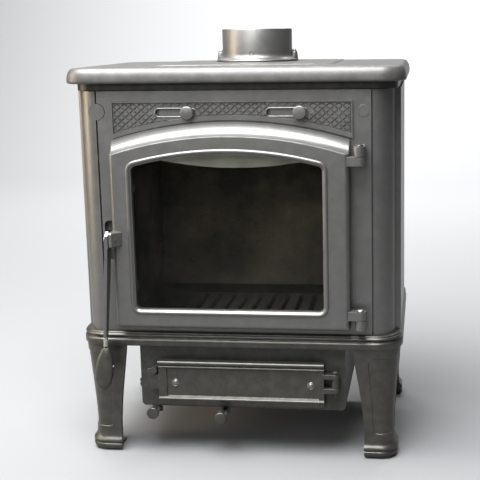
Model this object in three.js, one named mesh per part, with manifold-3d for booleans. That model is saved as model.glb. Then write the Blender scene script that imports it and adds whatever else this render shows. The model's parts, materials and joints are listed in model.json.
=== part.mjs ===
// Wood burning stove: cast body on four legs, glazed door, ash pit below.
// Millimetres, +Z up, with the origin on the floor. +X is the stove's right as seen from the
// front, and the front faces -Y. The pieces are drawn about the middle of the body in plan.

import * as THREE from 'three';
import { mergeVertices } from 'three/addons/utils/BufferGeometryUtils.js';
import Module from 'manifold-3d';

const wasm = await Module();
wasm.setup();

// ---- driving dimensions ----

// overall body
const bodyWidth = 580;
const bodyDepth = 380;
const panelHeight = 432.4;
const legHeight = 206.7;
const baseHeight = 25;
const topFrameHeight = 12.7;
const plateThickness = 26.7;
const seat = 0.3; // gap between castings that stand on each other

// walls
const sideWall = 7;
const frontWall = 10;
const backWall = 10;
const columnRadius = 38; // rounded corner columns
const columnStep = 10; // the side field stands this far out of the columns
const seamGap = 3; // open joint between the front panel and the corner columns
const seamLap = 4; // the panel's lip behind that joint

// top plate
const plateSideOverhang = 10;
const plateFrontOverhang = 15;
const plateCornerRadius = 42;
const plateSkin = 9;
const plateRim = 14;
const hotPlateWidth = 336;
const hotPlateFromFront = 95; // behind the plate's front edge
const hotPlateFromBack = 27;
const hotPlateRise = 2;
const hotPlateCorner = 36;

// flue collar
const collarBoreRadius = 64;
const collarWall = 5;
const collarHeight = 65; // above the top plate
const collarFlangeRadius = 81;
const collarFlangeThickness = 6;
const collarFromBack = 100; // collar axis to the body's back
const collarLugRadius = 7;
const collarLugHeight = 19;
const collarBoltRadius = 2.5;
const collarBoltHead = 4.2;

// base moulding
const baseSideOverhang = 4;
const baseFrontOverhang = 12;
const baseCornerRadius = 50;
const baseRim = 14;
const baseSkin = 8;
const grooveDepth = 3;

// legs
const legWidth = 84;
const legWall = 8;
const legInset = 4; // leg face behind the base moulding
const legPad = 9;
const legBoltRadius = 5;

// door, measured from the seams and edges of the front panel
const doorMarginLeft = 26;
const doorMarginRight = 38;
const doorMarginBottom = 12.7;
const doorMarginTop = 53.7;
const doorArchRise = 31;
const doorCrown = 14.5; // height of the sloping flange above the arch of the face
const crownThickness = 6;
const doorStandOff = 28; // door face in front of the front panel
const doorBevel = 8;
const doorLip = 12; // thickness of the face in front of the glass
const doorRunning = 2.7; // door rim to front panel
const stileLeft = 39;
const stileRight = 46;
const railBottom = 35;
const railTop = 54;
const glassArchRise = 22;
const beadWidth = 9;
const beadRise = 2.5;
const glassThickness = 4;
const glassLap = 9; // glass beyond the opening on every side
const gasketThickness = 2;
const ropeWidth = 10;
const ropeDepth = 7;
const ropeFromOpening = 16;
const clipHalf = 7;
const fireOpeningLap = 14; // front panel opening beyond the glass opening

// hinges of the door
const hingeFromDoor = 18; // axis beyond the door's right edge
const hingeStandOff = 23; // axis in front of the front panel
const hingePinRadius = 4;
const hingeLugRadius = 10;
const hingeLugHeight = 15;
const hingeBossHeight = 17;
const upperHingeDrop = 73.5; // bottom of the upper door lug below the crown of the door
const lowerHingeRise = 22; // bottom of the lower door lug above the door's bottom
const pinClearance = 0.35;

// handle
const pivotRise = 163; // above the door's bottom
const pivotStandOff = 38; // in front of the front panel
const pinHeadRadius = 6;
const rearScrewRadius = 3.3;
const leverThickness = 5.5;
const leverDepth = 22;
const leverReach = 8; // lever's front edge ahead of its pivot
const leverPinLift = 5; // ferrule's axis behind the lever's front edge
const leverLength = 176; // pivot to ferrule
const leverSplay = 3.6; // degrees, the arm leans out to the left
const leverGap = 2; // lever to the door's left edge
const tongueReach = 60;
const tongueHeight = 12;
const ferruleLength = 17;
const ferruleRadius = 4.5;
const gripLength = 82;
const gripWidth = 33;
const gripThickness = 19;
const gripTilt = 0.12; // radians, its top leans towards the door
const handleLugRadius = 14;
const latchSlotWidth = 24;
const latchSlotHeight = 72;
const latchSlotTop = 27; // above the handle's axis

// vent grille above the door
const grilleMarginLeft = 28;
const grilleMarginRight = 33;
const grilleMarginTop = 17.7;
const grilleMidHeight = 33;
const grilleArchRise = 32;
const grilleRise = 4; // rim in front of the front panel
const grilleRecess = 2.2;
const grilleSink = 1.2; // grille let into the front panel
const grilleRim = 6;
const slotLength = 70;
const slotHeight = 12;
const slotFromMiddle = 100;
const slotBelowTop = 20;
const airStemRadius = 4;
const airKnobRadius = 12;
const airKnobThickness = 7;
const airKnobStandOff = 3;
const shutterLength = 90;
const shutterHeight = 24;
const shutterThickness = 2.5;
const airTravel = 52;

// ash pit and ash door
const pitWidth = 376;
const pitOffset = 4; // pit axis to the right of the stove's axis
const pitWall = 5;
const pitFromFront = 5;
const pitFromBack = 40;
const pitDrop = 118.7; // below the base moulding
const pitCorner = 8;
const ashDoorWidth = 302;
const ashDoorHeight = 84;
const ashDoorDrop = 26.5; // top edge below the base moulding
const ashDoorStandOff = 7;
const ashDoorThickness = 10;
const ashDoorRim = 9;
const ashMouthMargin = 10;
const ashPinRadius = 3.5;
const ashPinFromDoor = 20;
const ashLugRadius = 7;
const panHeight = 46;
const panWall = 2;

// control rods under the ash pit
const rodRadius = 4.5;
const rodDrop = 8; // rod axis below the pit floor
const rodKnobRadius = 11;
const rodKnobLength = 24;
const riddlingTravel = 25;
const primarySlotWidth = 22; // also the slide's travel

// fire chamber lining
const brickThickness = 25;
const brickHeight = 355;
const smokeGap = 60; // baffle's front edge behind the lining's front
const baffleThickness = 18;
const grateWidth = 276;
const grateDepth = 152;
const grateThickness = 8;
const grateBars = 9;

// ---- places worked out from the driving dimensions ----

const baseBottom = legHeight + seat;
const baseTop = baseBottom + baseHeight;
const panelBottom = baseTop + seat;
const panelTop = panelBottom + panelHeight;
const topFrameBottom = panelTop + seat;
const topFrameTop = topFrameBottom + topFrameHeight;
const plateBottom = topFrameTop + seat;
const plateTop = plateBottom + plateThickness;
const hotPlateTop = plateTop + hotPlateRise;

const bodyHalf = bodyWidth / 2;
const columnHalf = bodyHalf - columnStep;
const seamHalf = columnHalf - columnRadius;
const bodyFront = -bodyDepth / 2;
const bodyBack = bodyDepth / 2;
const panelBack = bodyFront + frontWall;

const doorLeft = -seamHalf + doorMarginLeft;
const doorRight = seamHalf - doorMarginRight;
const doorBottom = panelBottom + doorMarginBottom;
const doorApex = panelTop - doorMarginTop;
const doorFace = bodyFront - doorStandOff;
const doorRimBack = bodyFront - doorRunning;
const glassFront = doorFace + doorLip;

const hingeX = doorRight + hingeFromDoor;
const hingeY = bodyFront - hingeStandOff;
const upperLugTop = doorApex + hingeLugHeight - upperHingeDrop;
const lowerLugBottom = doorBottom + lowerHingeRise;

const pivotY = bodyFront - pivotStandOff;
const pivotZ = doorBottom + pivotRise;
const leverRight = doorLeft - leverGap;
const leverLeft = leverRight - leverThickness;

const grilleLeft = -seamHalf + grilleMarginLeft;
const grilleRight = seamHalf - grilleMarginRight;
const grilleTop = panelTop - grilleMarginTop;
const grilleFront = bodyFront - grilleRise;
const grilleBack = bodyFront + grilleSink;
const shutterFront = grilleBack + 0.6;
const shutterBack = shutterFront + shutterThickness;
const slotZ = grilleTop - slotBelowTop;

const pitLeft = pitOffset - pitWidth / 2;
const pitRight = pitOffset + pitWidth / 2;
const pitFront = bodyFront + pitFromFront;
const pitBack = bodyBack - pitFromBack;
const pitBottom = baseBottom - pitDrop;
const pitTop = baseTop - baseSkin - seat;
const ashDoorLeft = pitOffset - ashDoorWidth / 2;
const ashDoorRight = pitOffset + ashDoorWidth / 2;
const ashDoorTop = baseBottom - ashDoorDrop;
const ashDoorBottom = ashDoorTop - ashDoorHeight;
const ashDoorBack = pitFront - ashDoorStandOff;
const ashDoorFront = ashDoorBack - ashDoorThickness;
const panBottom = ashDoorBottom + ashMouthMargin + 1;
const ashPinX = ashDoorRight + ashPinFromDoor;
const ashPinY = ashDoorBack - ashDoorThickness / 2;

const rodZ = pitBottom - rodDrop;
const riddlingX = pitLeft + 24;
const primaryX = pitLeft + 153;
const collarY = bodyBack - collarFromBack;
const brickTop = panelBottom + brickHeight;

// ---- materials ----

const paint = (colour, roughness) => (
  new THREE.MeshStandardMaterial({ color: colour, roughness, metalness: 0.3 })
);
const stovePaint = () => paint(0x6f716e, 0.62);
const darkPaint = () => paint(0x3d3e3a, 0.7);
const fireIron = () => paint(0x2b2a28, 0.85);
const steel = () => new THREE.MeshStandardMaterial({ color: 0xb9bab6, roughness: 0.35, metalness: 0.9 });
const ropeWhite = () => new THREE.MeshStandardMaterial({ color: 0x8d8a82, roughness: 0.95, metalness: 0 });
const brickClay = () => new THREE.MeshStandardMaterial({ color: 0x6d6152, roughness: 0.95, metalness: 0 });
const fireGlass = () => new THREE.MeshStandardMaterial({ color: 0x1b1c1a, roughness: 0.08, metalness: 0 });

// ---- shape helpers ----

function solidOf(geometry) {
  const bare = geometry.clone();
  bare.deleteAttribute('normal');
  bare.deleteAttribute('uv');
  const merged = mergeVertices(bare, 1e-4);
  const corners = [];
  for (let i = 0; i < merged.index.count; i += 3) {
    const [a, b, c] = [0, 1, 2].map((k) => merged.index.getX(i + k));
    if (a !== b && b !== c && c !== a) corners.push(a, b, c);
  }
  return new wasm.Manifold(new wasm.Mesh({
    numProp: 3,
    vertProperties: new Float32Array(merged.attributes.position.array),
    triVerts: new Uint32Array(corners),
  }));
}

function joined(...solids) {
  return solids.reduce((whole, next) => whole.add(next));
}

function cut(solid, ...tools) {
  return tools.reduce((rest, tool) => rest.subtract(tool), solid);
}

function mesh(name, solid, material) {
  const { vertProperties, triVerts } = solid.getMesh();
  const geometry = new THREE.BufferGeometry();
  geometry.setAttribute('position', new THREE.BufferAttribute(new Float32Array(vertProperties), 3));
  geometry.setIndex(new THREE.BufferAttribute(new Uint32Array(triVerts), 1));
  geometry.computeVertexNormals();
  const piece = new THREE.Mesh(geometry, material);
  piece.name = name;
  return piece;
}

function box(x0, x1, y0, y1, z0, z1) {
  const geometry = new THREE.BoxGeometry(x1 - x0, y1 - y0, z1 - z0);
  geometry.translate((x0 + x1) / 2, (y0 + y1) / 2, (z0 + z1) / 2);
  return solidOf(geometry);
}

function cylinderZ(radius, x, y, z0, z1, sides = 20, topRadius = radius) {
  const geometry = new THREE.CylinderGeometry(topRadius, radius, z1 - z0, sides);
  geometry.rotateX(Math.PI / 2);
  geometry.translate(x, y, (z0 + z1) / 2);
  return solidOf(geometry);
}

function cylinderY(radius, x, z, y0, y1, sides = 20, frontRadius = radius) {
  const geometry = new THREE.CylinderGeometry(radius, frontRadius, y1 - y0, sides);
  geometry.translate(x, (y0 + y1) / 2, z);
  return solidOf(geometry);
}

function cylinderX(radius, y, z, x0, x1, sides = 20) {
  const geometry = new THREE.CylinderGeometry(radius, radius, x1 - x0, sides);
  geometry.rotateZ(Math.PI / 2);
  geometry.translate((x0 + x1) / 2, y, z);
  return solidOf(geometry);
}

// a flat outline in plan, standing from z0 to z1
function slab(outline, z0, z1, curveSegments = 6, bevel = null) {
  const depth = z1 - z0 - (bevel ? 2 * bevel.bevelThickness : 0);
  const options = { depth, curveSegments, bevelEnabled: Boolean(bevel), ...bevel };
  const geometry = new THREE.ExtrudeGeometry(outline, options);
  geometry.translate(0, 0, z0 + (bevel ? bevel.bevelThickness : 0));
  return solidOf(geometry);
}

// an outline drawn in X and Z, running from y0 (front) to y1 (back)
function wall(outline, y0, y1, curveSegments = 6, bevel = null) {
  const depth = y1 - y0 - (bevel ? 2 * bevel.bevelThickness : 0);
  const options = { depth, curveSegments, bevelEnabled: Boolean(bevel), ...bevel };
  const geometry = new THREE.ExtrudeGeometry(outline, options);
  geometry.rotateX(Math.PI / 2);
  geometry.translate(0, y1 - (bevel ? bevel.bevelThickness : 0), 0);
  return solidOf(geometry);
}

// an outline drawn in Y and Z, running from x0 to x1
function sideCut(outline, x0, x1, curveSegments = 6) {
  const geometry = new THREE.ExtrudeGeometry(outline, { depth: x1 - x0, curveSegments, bevelEnabled: false });
  geometry.rotateX(Math.PI / 2);
  geometry.rotateZ(Math.PI / 2);
  geometry.translate(x0, 0, 0);
  return solidOf(geometry);
}

function edgeBevel(size, segments) {
  return { bevelSize: size, bevelThickness: size, bevelOffset: -size, bevelSegments: segments };
}

function roundedRectangle(x0, x1, y0, y1, radius) {
  const shape = new THREE.Shape();
  shape.moveTo(x0 + radius, y0);
  shape.lineTo(x1 - radius, y0);
  shape.absarc(x1 - radius, y0 + radius, radius, -Math.PI / 2, 0, false);
  shape.lineTo(x1, y1 - radius);
  shape.absarc(x1 - radius, y1 - radius, radius, 0, Math.PI / 2, false);
  shape.lineTo(x0 + radius, y1);
  shape.absarc(x0 + radius, y1 - radius, radius, Math.PI / 2, Math.PI, false);
  shape.lineTo(x0, y0 + radius);
  shape.absarc(x0 + radius, y0 + radius, radius, Math.PI, 1.5 * Math.PI, false);
  return shape;
}

// an upright opening with a low arched head; grow moves every side out
function archOutline(arch, grow = 0) {
  const left = arch.left - grow;
  const right = arch.right + grow;
  const bottom = arch.bottom - grow;
  const corner = arch.corner;
  const middle = (left + right) / 2;
  const half = (arch.right - arch.left) / 2;
  const radius = (half * half + arch.rise * arch.rise) / (2 * arch.rise) + grow;
  const centre = arch.apex + grow - radius;
  const reach = (right - left) / 2;
  const shoulder = centre + Math.sqrt(radius * radius - reach * reach);
  const headAngle = Math.acos((reach - corner) / radius);
  const shape = new THREE.Shape();
  shape.moveTo(left + corner, bottom);
  shape.lineTo(right - corner, bottom);
  shape.quadraticCurveTo(right, bottom, right, bottom + corner);
  shape.lineTo(right, shoulder - corner);
  const headEnd = new THREE.Vector2(
    middle + radius * Math.cos(headAngle), centre + radius * Math.sin(headAngle));
  shape.quadraticCurveTo(right, shoulder, headEnd.x, headEnd.y);
  shape.absarc(middle, centre, radius, headAngle, Math.PI - headAngle, false);
  shape.quadraticCurveTo(left, shoulder, left, shoulder - corner);
  shape.lineTo(left, bottom + corner);
  shape.quadraticCurveTo(left, bottom, left + corner, bottom);
  return shape;
}

const doorArch = {
  left: doorLeft, right: doorRight, bottom: doorBottom, apex: doorApex, rise: doorArchRise, corner: 6,
};
const faceArch = { ...doorArch, apex: doorApex - doorCrown };
const glassArch = {
  left: doorLeft + stileLeft,
  right: doorRight - stileRight,
  bottom: doorBottom + railBottom,
  apex: doorApex - railTop,
  rise: glassArchRise,
  corner: 9,
};

// ---- body castings ----

function makeTopPlate() {
  const half = bodyHalf + plateSideOverhang;
  const front = bodyFront - plateFrontOverhang;
  const outline = roundedRectangle(-half, half, front, -front, plateCornerRadius);
  const nose = edgeBevel(plateThickness * 0.42, 4);
  const pocket = roundedRectangle(
    -half + plateRim, half - plateRim, front + plateRim, -front - plateRim, plateCornerRadius - plateRim);
  const hot = roundedRectangle(
    -hotPlateWidth / 2, hotPlateWidth / 2, front + hotPlateFromFront, -front - hotPlateFromBack, hotPlateCorner);
  const body = joined(
    slab(outline, plateBottom, plateTop, 5, nose),
    slab(hot, plateTop - 1, hotPlateTop, 4),
  );
  return mesh('top_plate', cut(
    body,
    slab(pocket, plateBottom - 1, plateTop - plateSkin, 3),
    cylinderZ(collarBoreRadius - 2, 0, collarY, plateBottom, hotPlateTop + 1, 32),
    ...collarBoltPlaces().map(([x, y]) => cylinderZ(collarBoltRadius + seat, x, y, plateBottom, hotPlateTop + 1, 12)),
  ), stovePaint());
}

function collarBoltPlaces() {
  const reach = collarBoreRadius + collarWall + collarBoltHead + seat;
  return [[-reach, collarY], [reach, collarY]];
}

function makeFlueCollar() {
  const bottom = hotPlateTop + seat;
  const top = plateTop + collarHeight;
  const outer = collarBoreRadius + collarWall;
  const profile = [
    [collarBoreRadius, bottom],
    [collarFlangeRadius, bottom],
    [collarFlangeRadius, bottom + collarFlangeThickness * 0.6],
    [collarFlangeRadius - 3, bottom + collarFlangeThickness],
    [outer + 4, bottom + collarFlangeThickness + 1],
    [outer, bottom + collarFlangeThickness + 6],
    [outer, top - 1],
    [outer - 1, top],
    [collarBoreRadius, top],
    [collarBoreRadius, bottom],
  ].map(([r, z]) => new THREE.Vector2(r, z));
  const ring = new THREE.LatheGeometry(profile, 36);
  ring.rotateX(Math.PI / 2);
  ring.translate(0, collarY, 0);
  const bore = cylinderZ(collarBoreRadius, 0, collarY, bottom - 1, top + 1, 36);
  const lugs = collarBoltPlaces().map(([x, y]) => cylinderZ(
    collarLugRadius, x, y, bottom, bottom + collarLugHeight, 16, collarLugRadius - 1));
  const holes = collarBoltPlaces().map(([x, y]) => cylinderZ(
    collarBoltRadius + seat, x, y, bottom - 1, bottom + collarLugHeight + 1, 12));
  const screwHole = cylinderY(4.3, 0, bottom + 16, collarY - outer - 2, collarY - collarBoreRadius + 3, 12);
  return mesh('flue_collar', cut(joined(solidOf(ring), ...lugs.map((lug) => cut(lug, bore))), ...holes, screwHole),
    stovePaint());
}

function makeCollarFasteners() {
  const bottom = hotPlateTop + seat;
  const headBottom = bottom + collarLugHeight + seat;
  const names = ['collar_bolt_left', 'collar_bolt_right'];
  const bolts = collarBoltPlaces().map(([x, y], i) => mesh(names[i], joined(
    cylinderZ(collarBoltRadius, x, y, plateTop - plateSkin - 6, headBottom + 1, 12),
    cylinderZ(collarBoltHead, x, y, headBottom, headBottom + 3.5, 12),
  ), steel()));
  const outer = collarBoreRadius + collarWall;
  const screw = cylinderY(4, 0, bottom + 16, collarY - outer + 1.5, collarY - collarBoreRadius + 2, 12);
  return [...bolts, mesh('collar_screw_front', screw, darkPaint())];
}

function makeTopFrame() {
  const half = bodyHalf - 4;
  const front = bodyFront + 6;
  const outer = roundedRectangle(-half, half, front, -front, 36);
  const inner = roundedRectangle(-half + 34, half - 34, front + 18, -front - 18, 16);
  return mesh('top_frame', cut(
    slab(outer, topFrameBottom, topFrameTop, 4),
    slab(inner, topFrameBottom - 1, topFrameTop + 1, 3),
  ), darkPaint());
}

// plan outline of a side panel for the right-hand side
function sidePanelOutline() {
  const start = seamHalf + seamGap / 2;
  const column = columnHalf - columnRadius;
  const wallLine = columnHalf - sideWall;
  const inner = columnRadius - sideWall;
  const stepY = bodyBack - columnRadius - 8;
  const shape = new THREE.Shape();
  shape.moveTo(start, bodyFront);
  shape.absarc(column, bodyFront + columnRadius, columnRadius, -Math.PI / 2 + 0.04, 0, false);
  shape.lineTo(columnHalf, -stepY - 3);
  shape.lineTo(bodyHalf - 3, -stepY);
  shape.quadraticCurveTo(bodyHalf, -stepY + 1, bodyHalf, -stepY + 5);
  shape.lineTo(bodyHalf, stepY - 5);
  shape.quadraticCurveTo(bodyHalf, stepY - 1, bodyHalf - 3, stepY);
  shape.lineTo(columnHalf, stepY + 3);
  shape.absarc(column, bodyBack - columnRadius, columnRadius, 0, Math.PI / 2 - 0.04, false);
  shape.lineTo(start, bodyBack);
  shape.lineTo(start, bodyBack - sideWall);
  shape.absarc(column, bodyBack - columnRadius, inner, Math.PI / 2 - 0.05, 0, true);
  shape.lineTo(wallLine, stepY);
  shape.lineTo(bodyHalf - sideWall, stepY - 6);
  shape.lineTo(bodyHalf - sideWall, -stepY + 6);
  shape.lineTo(wallLine, -stepY);
  shape.absarc(column, bodyFront + columnRadius, inner, 0, -Math.PI / 2 + 0.05, true);
  shape.lineTo(start, bodyFront + sideWall);
  return shape;
}

const earRadius = 14.5; // boss on the left column, let into the front panel
const earZ = panelTop - 36;
const padRadius = 10; // low pad on the front panel's right side
const padRise = 1;
const padInset = 15; // pad's middle inside the right seam

function makeSidePanel(name, side) {
  const shell = slab(sidePanelOutline(), panelBottom, panelTop, 4);
  if (side > 0) {
    return mesh(name, shell, stovePaint());
  }
  const ear = cylinderY(earRadius, -seamHalf, earZ, bodyFront, bodyFront + sideWall, 20);
  return mesh(name, joined(shell.mirror([1, 0, 0]), ear), stovePaint());
}

function grilleOutline(inset = 0) {
  const half = (grilleRight - grilleLeft) / 2;
  const middle = (grilleRight + grilleLeft) / 2;
  const radius = (half * half + grilleArchRise * grilleArchRise) / (2 * grilleArchRise);
  const crown = grilleTop - grilleMidHeight;
  const reach = half - inset;
  const sweep = Math.acos(reach / (radius + inset));
  const shape = new THREE.Shape();
  shape.moveTo(middle + reach, grilleTop - inset);
  shape.lineTo(middle - reach, grilleTop - inset);
  shape.absarc(middle, crown - radius, radius + inset, Math.PI - sweep, sweep, true);
  return shape;
}

function obround(x, z, length, height) {
  return roundedRectangle(x - length / 2, x + length / 2, z - height / 2, z + height / 2, height / 2 - 0.01);
}

const slotPlaces = [
  { name: 'left', slotX: -slotFromMiddle, knobX: -slotFromMiddle + 23, portX: -slotFromMiddle - 68 },
  { name: 'right', slotX: slotFromMiddle - 4, knobX: slotFromMiddle + 19, portX: slotFromMiddle - 70 },
];
const shutterShift = 7; // shutter's middle behind its knob

function makeFrontPanel() {
  const half = seamHalf - seamGap / 2;
  const blank = box(-half, half, bodyFront, panelBack, panelBottom, panelTop);
  const flanges = [-1, 1].map((side) => {
    const near = side * (seamHalf - 20);
    const far = side * (seamHalf + seamLap);
    return box(Math.min(near, far), Math.max(near, far), bodyFront + sideWall + 0.8, panelBack,
      panelBottom, panelTop);
  });
  const notch = cylinderY(earRadius + 1, -seamHalf, earZ, bodyFront - 1, bodyFront + sideWall + 0.5, 20);
  const pad = cylinderY(padRadius, seamHalf - padInset, earZ, bodyFront - padRise, bodyFront + 1, 24);
  const pockets = slotPlaces.map(({ knobX }) => {
    const x1 = knobX - shutterShift + shutterLength / 2 + 8;
    const x0 = x1 - shutterLength - airTravel - 14;
    return box(x0, x1, bodyFront - 1, shutterBack + 0.4,
      slotZ - shutterHeight / 2 - 1, slotZ + shutterHeight / 2 + 1);
  });
  const ports = slotPlaces.map(({ portX }) => box(
    portX - 20, portX + 20, bodyFront, panelBack + 3, slotZ - 7, slotZ + 7));
  const latchSlot = roundedRectangle(
    leverRight + leverGap + 3 - latchSlotWidth, leverRight + leverGap + 3,
    pivotZ + latchSlotTop - latchSlotHeight, pivotZ + latchSlotTop, 8);
  const upperBossBottom = upperLugTop + seat + 0.7;
  const lowerBossTop = lowerLugBottom - seat - 0.7;
  const bosses = [
    hingeBoss(upperBossBottom, upperBossBottom + hingeBossHeight),
    hingeBoss(lowerBossTop - hingeBossHeight, lowerBossTop),
  ];
  const seatCut = wall(grilleOutline(-seat), bodyFront - 1, grilleBack + 0.3, 10);
  const body = cut(
    joined(blank, ...flanges),
    notch,
    wall(archOutline(glassArch, fireOpeningLap), bodyFront - 1, panelBack + 3, 8),
    seatCut,
    ...pockets,
    ...ports,
    wall(latchSlot, bodyFront - 1, panelBack + 3, 4),
  );
  return mesh('front_panel', joined(body, pad, ...bosses), stovePaint());
}

// a round boss on the hinge axis with a tongue back to the front panel
function hingeBoss(z0, z1) {
  const boss = joined(
    cylinderZ(hingeLugRadius, hingeX, hingeY, z0, z1, 18),
    box(hingeX - hingeLugRadius + 2, hingeX + hingeLugRadius - 2, hingeY, bodyFront + 1, z0, z1),
  );
  return cut(boss, cylinderZ(hingePinRadius + pinClearance, hingeX, hingeY, z0 - 1, z1 + 1, 16));
}

function makeBackPanel() {
  const half = seamHalf - seamGap / 2;
  const blank = box(-half, half, bodyBack - backWall, bodyBack, panelBottom, panelTop);
  const ribs = [0.3, 0.55].map((share) => box(
    -half + 30, half - 30, bodyBack - 1, bodyBack + 4,
    panelBottom + panelHeight * share, panelBottom + panelHeight * share + 12));
  const holes = rearScrewPlaces().map(([x, z]) => (
    cylinderY(rearScrewRadius, x, z, bodyBack - backWall - 1, bodyBack + 1, 10)
  ));
  const flanges = [-1, 1].map((side) => {
    const near = side * (seamHalf - 20);
    const far = side * (seamHalf + seamLap);
    return box(Math.min(near, far), Math.max(near, far), bodyBack - backWall, bodyBack - sideWall - 0.8,
      panelBottom, panelTop);
  });
  return mesh('back_panel', cut(
    joined(blank, ...ribs, ...flanges),
    cylinderY(collarBoreRadius - 4, 0, rearFlueZ(), bodyBack - backWall - 1, bodyBack + 1, 28),
    ...holes,
  ), stovePaint());
}

function rearFlueZ() {
  return panelTop - 88;
}

function rearScrewPlaces() {
  return [[-72, rearFlueZ()], [72, rearFlueZ()]];
}

function makeRearCover() {
  const front = bodyBack + seat;
  const z = rearFlueZ();
  const disc = joined(
    cylinderY(80, 0, z, front, front + 5, 32),
    cylinderY(collarBoreRadius - 6, 0, z, front - 5, front + 8, 28),
  );
  const holes = rearScrewPlaces().map(([x, hz]) => cylinderY(3.3, x, hz, front - 1, front + 6, 10));
  return mesh('rear_flue_cover', cut(disc, ...holes), stovePaint());
}

function makeBasePlate() {
  const half = bodyHalf + baseSideOverhang;
  const front = bodyFront - baseFrontOverhang;
  const ringOutline = (inset) => roundedRectangle(
    -half + inset, half - inset, front + inset, -front - inset, baseCornerRadius - inset);
  const bandTop = baseBottom + baseHeight * 0.56;
  const grooveTop = bandTop + baseHeight * 0.1;
  const body = joined(
    slab(ringOutline(0), baseBottom, bandTop, 5, edgeBevel(2.5, 2)),
    slab(ringOutline(grooveDepth), bandTop - 3, grooveTop + 3, 5),
    slab(ringOutline(1), grooveTop, baseTop, 5, edgeBevel((baseTop - grooveTop) * 0.45, 3)),
  );
  const pocket = slab(ringOutline(baseRim), baseBottom - 1, baseTop - baseSkin, 4);
  const bosses = legPlaces().map(({ x, y }) => box(
    x - 26, x + 26, y - 26, y + 26, baseBottom, baseTop - baseSkin + 1));
  const boltHoles = legPlaces().map(({ x, y }) => cylinderZ(
    legBoltRadius + seat, x, y, baseBottom - 1, baseBottom + 14, 12));
  const [x0, x1, y0, y1] = grateOpening();
  const rails = [[x0 - 10, x0 + 10], [x1 - 10, x1 + 10]].map(([a, b]) => box(
    a, b, y0 - 6, y1 + 6, baseTop - baseSkin - 7, baseTop - baseSkin + 1));
  const opening = box(x0, x1, y0, y1, baseTop - baseSkin, baseTop + 1);
  const cored = joined(cut(body, pocket), ...bosses, ...rails);
  return mesh('base_plate', cut(cored, ...boltHoles, opening), stovePaint());
}

function grateOpening() {
  return [-grateWidth / 2 - 2, grateWidth / 2 + 2, -grateDepth / 2 + 10 - riddlingTravel - 2, grateDepth / 2 + 12];
}

function legPlaces() {
  const x = bodyHalf + baseSideOverhang - legInset - legWidth / 2;
  const y = bodyDepth / 2 + baseFrontOverhang - legInset - legWidth / 2;
  return [
    { name: 'front_left', x: -x, y: -y, sx: -1, sy: -1 },
    { name: 'front_right', x, y: -y, sx: 1, sy: -1 },
    { name: 'rear_left', x: -x, y, sx: -1, sy: 1 },
    { name: 'rear_right', x, y, sx: 1, sy: 1 },
  ];
}

// height share, share of the full leg width, and lean towards the outer corner; the foot is beaded
const legStations = [
  [0, 0.62, 6], [0.012, 0.68, 6.5], [0.04, 0.725, 7], [0.062, 0.7, 6.5], [0.072, 0.73, 7], [0.11, 0.72, 6.5],
  [0.135, 0.65, 4.5], [0.24, 0.63, 4], [0.42, 0.68, 3.3], [0.62, 0.78, 2.2], [0.82, 0.91, 0.9], [1, 1, 0],
];

// a column whose section follows the stations about the leg's axis
function taperedColumn(outline, height, stretch) {
  const steps = legStations.length - 1;
  const geometry = new THREE.ExtrudeGeometry(outline, {
    depth: steps, steps, curveSegments: 4, bevelEnabled: false,
  });
  const position = geometry.attributes.position;
  for (let i = 0; i < position.count; i += 1) {
    const [rise, share, lean] = legStations[Math.round(position.getZ(i))];
    const z = stretch ? rise * (height + 2) - 1 : rise * height;
    position.setXYZ(i, position.getX(i) * share + lean, position.getY(i) * share + lean, z);
  }
  return solidOf(geometry);
}

function makeLeg({ name, x, y, sx, sy }) {
  const half = legWidth / 2;
  const outer = baseCornerRadius - legInset - 4;
  const section = new THREE.Shape();
  section.moveTo(-half, -half);
  section.lineTo(half, -half);
  section.lineTo(half, half - outer);
  section.absarc(half - outer, half - outer, outer, 0, Math.PI / 2, false);
  section.lineTo(-half, half);
  const hollow = new THREE.Shape();
  const inner = outer - legWall;
  hollow.moveTo(-half - 10, -half - 10);
  hollow.lineTo(half - legWall, -half - 10);
  hollow.lineTo(half - legWall, half - legWall - inner);
  hollow.absarc(half - legWall - inner, half - legWall - inner, inner, 0, Math.PI / 2, false);
  hollow.lineTo(-half - 10, half - legWall);
  const core = cut(
    taperedColumn(hollow, legHeight, true),
    box(-half - 20, half + 20, -half - 20, half + 20, legHeight - legPad, legHeight + 5),
    box(-half - 20, half + 20, -half - 20, half + 20, -5, 8),
  );
  const leg = cut(
    taperedColumn(section, legHeight, false),
    core,
    cylinderZ(legBoltRadius + seat, 0, 0, legHeight - legPad - 1, legHeight + 1, 12),
  );
  const mirrored = sx > 0 ? leg : leg.mirror([1, 0, 0]);
  const turned = sy > 0 ? mirrored : mirrored.mirror([0, 1, 0]);
  const piece = mesh(`leg_${name}`, turned, stovePaint());
  piece.position.set(x, y, 0);
  return piece;
}

function makeLegBolt({ name, x, y }) {
  const headTop = legHeight - legPad - seat;
  return mesh(`leg_bolt_${name}`, joined(
    cylinderZ(legBoltRadius, x, y, headTop - 1, baseBottom + 12, 12),
    cylinderZ(9, x, y, headTop - 7, headTop, 6),
  ), steel());
}

// ---- vent grille and its two shutters ----

function makeVentGrille() {
  const plate = wall(grilleOutline(), grilleFront, grilleBack, 12);
  const recess = wall(grilleOutline(grilleRim), grilleFront - 1, grilleFront + grilleRecess, 12);
  const slots = slotPlaces.map(({ slotX }) => wall(
    obround(slotX, slotZ, slotLength, slotHeight), grilleFront - 1, grilleBack + 1, 4));
  return mesh('vent_grille', cut(plate, recess, ...slots), stovePaint());
}

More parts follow.
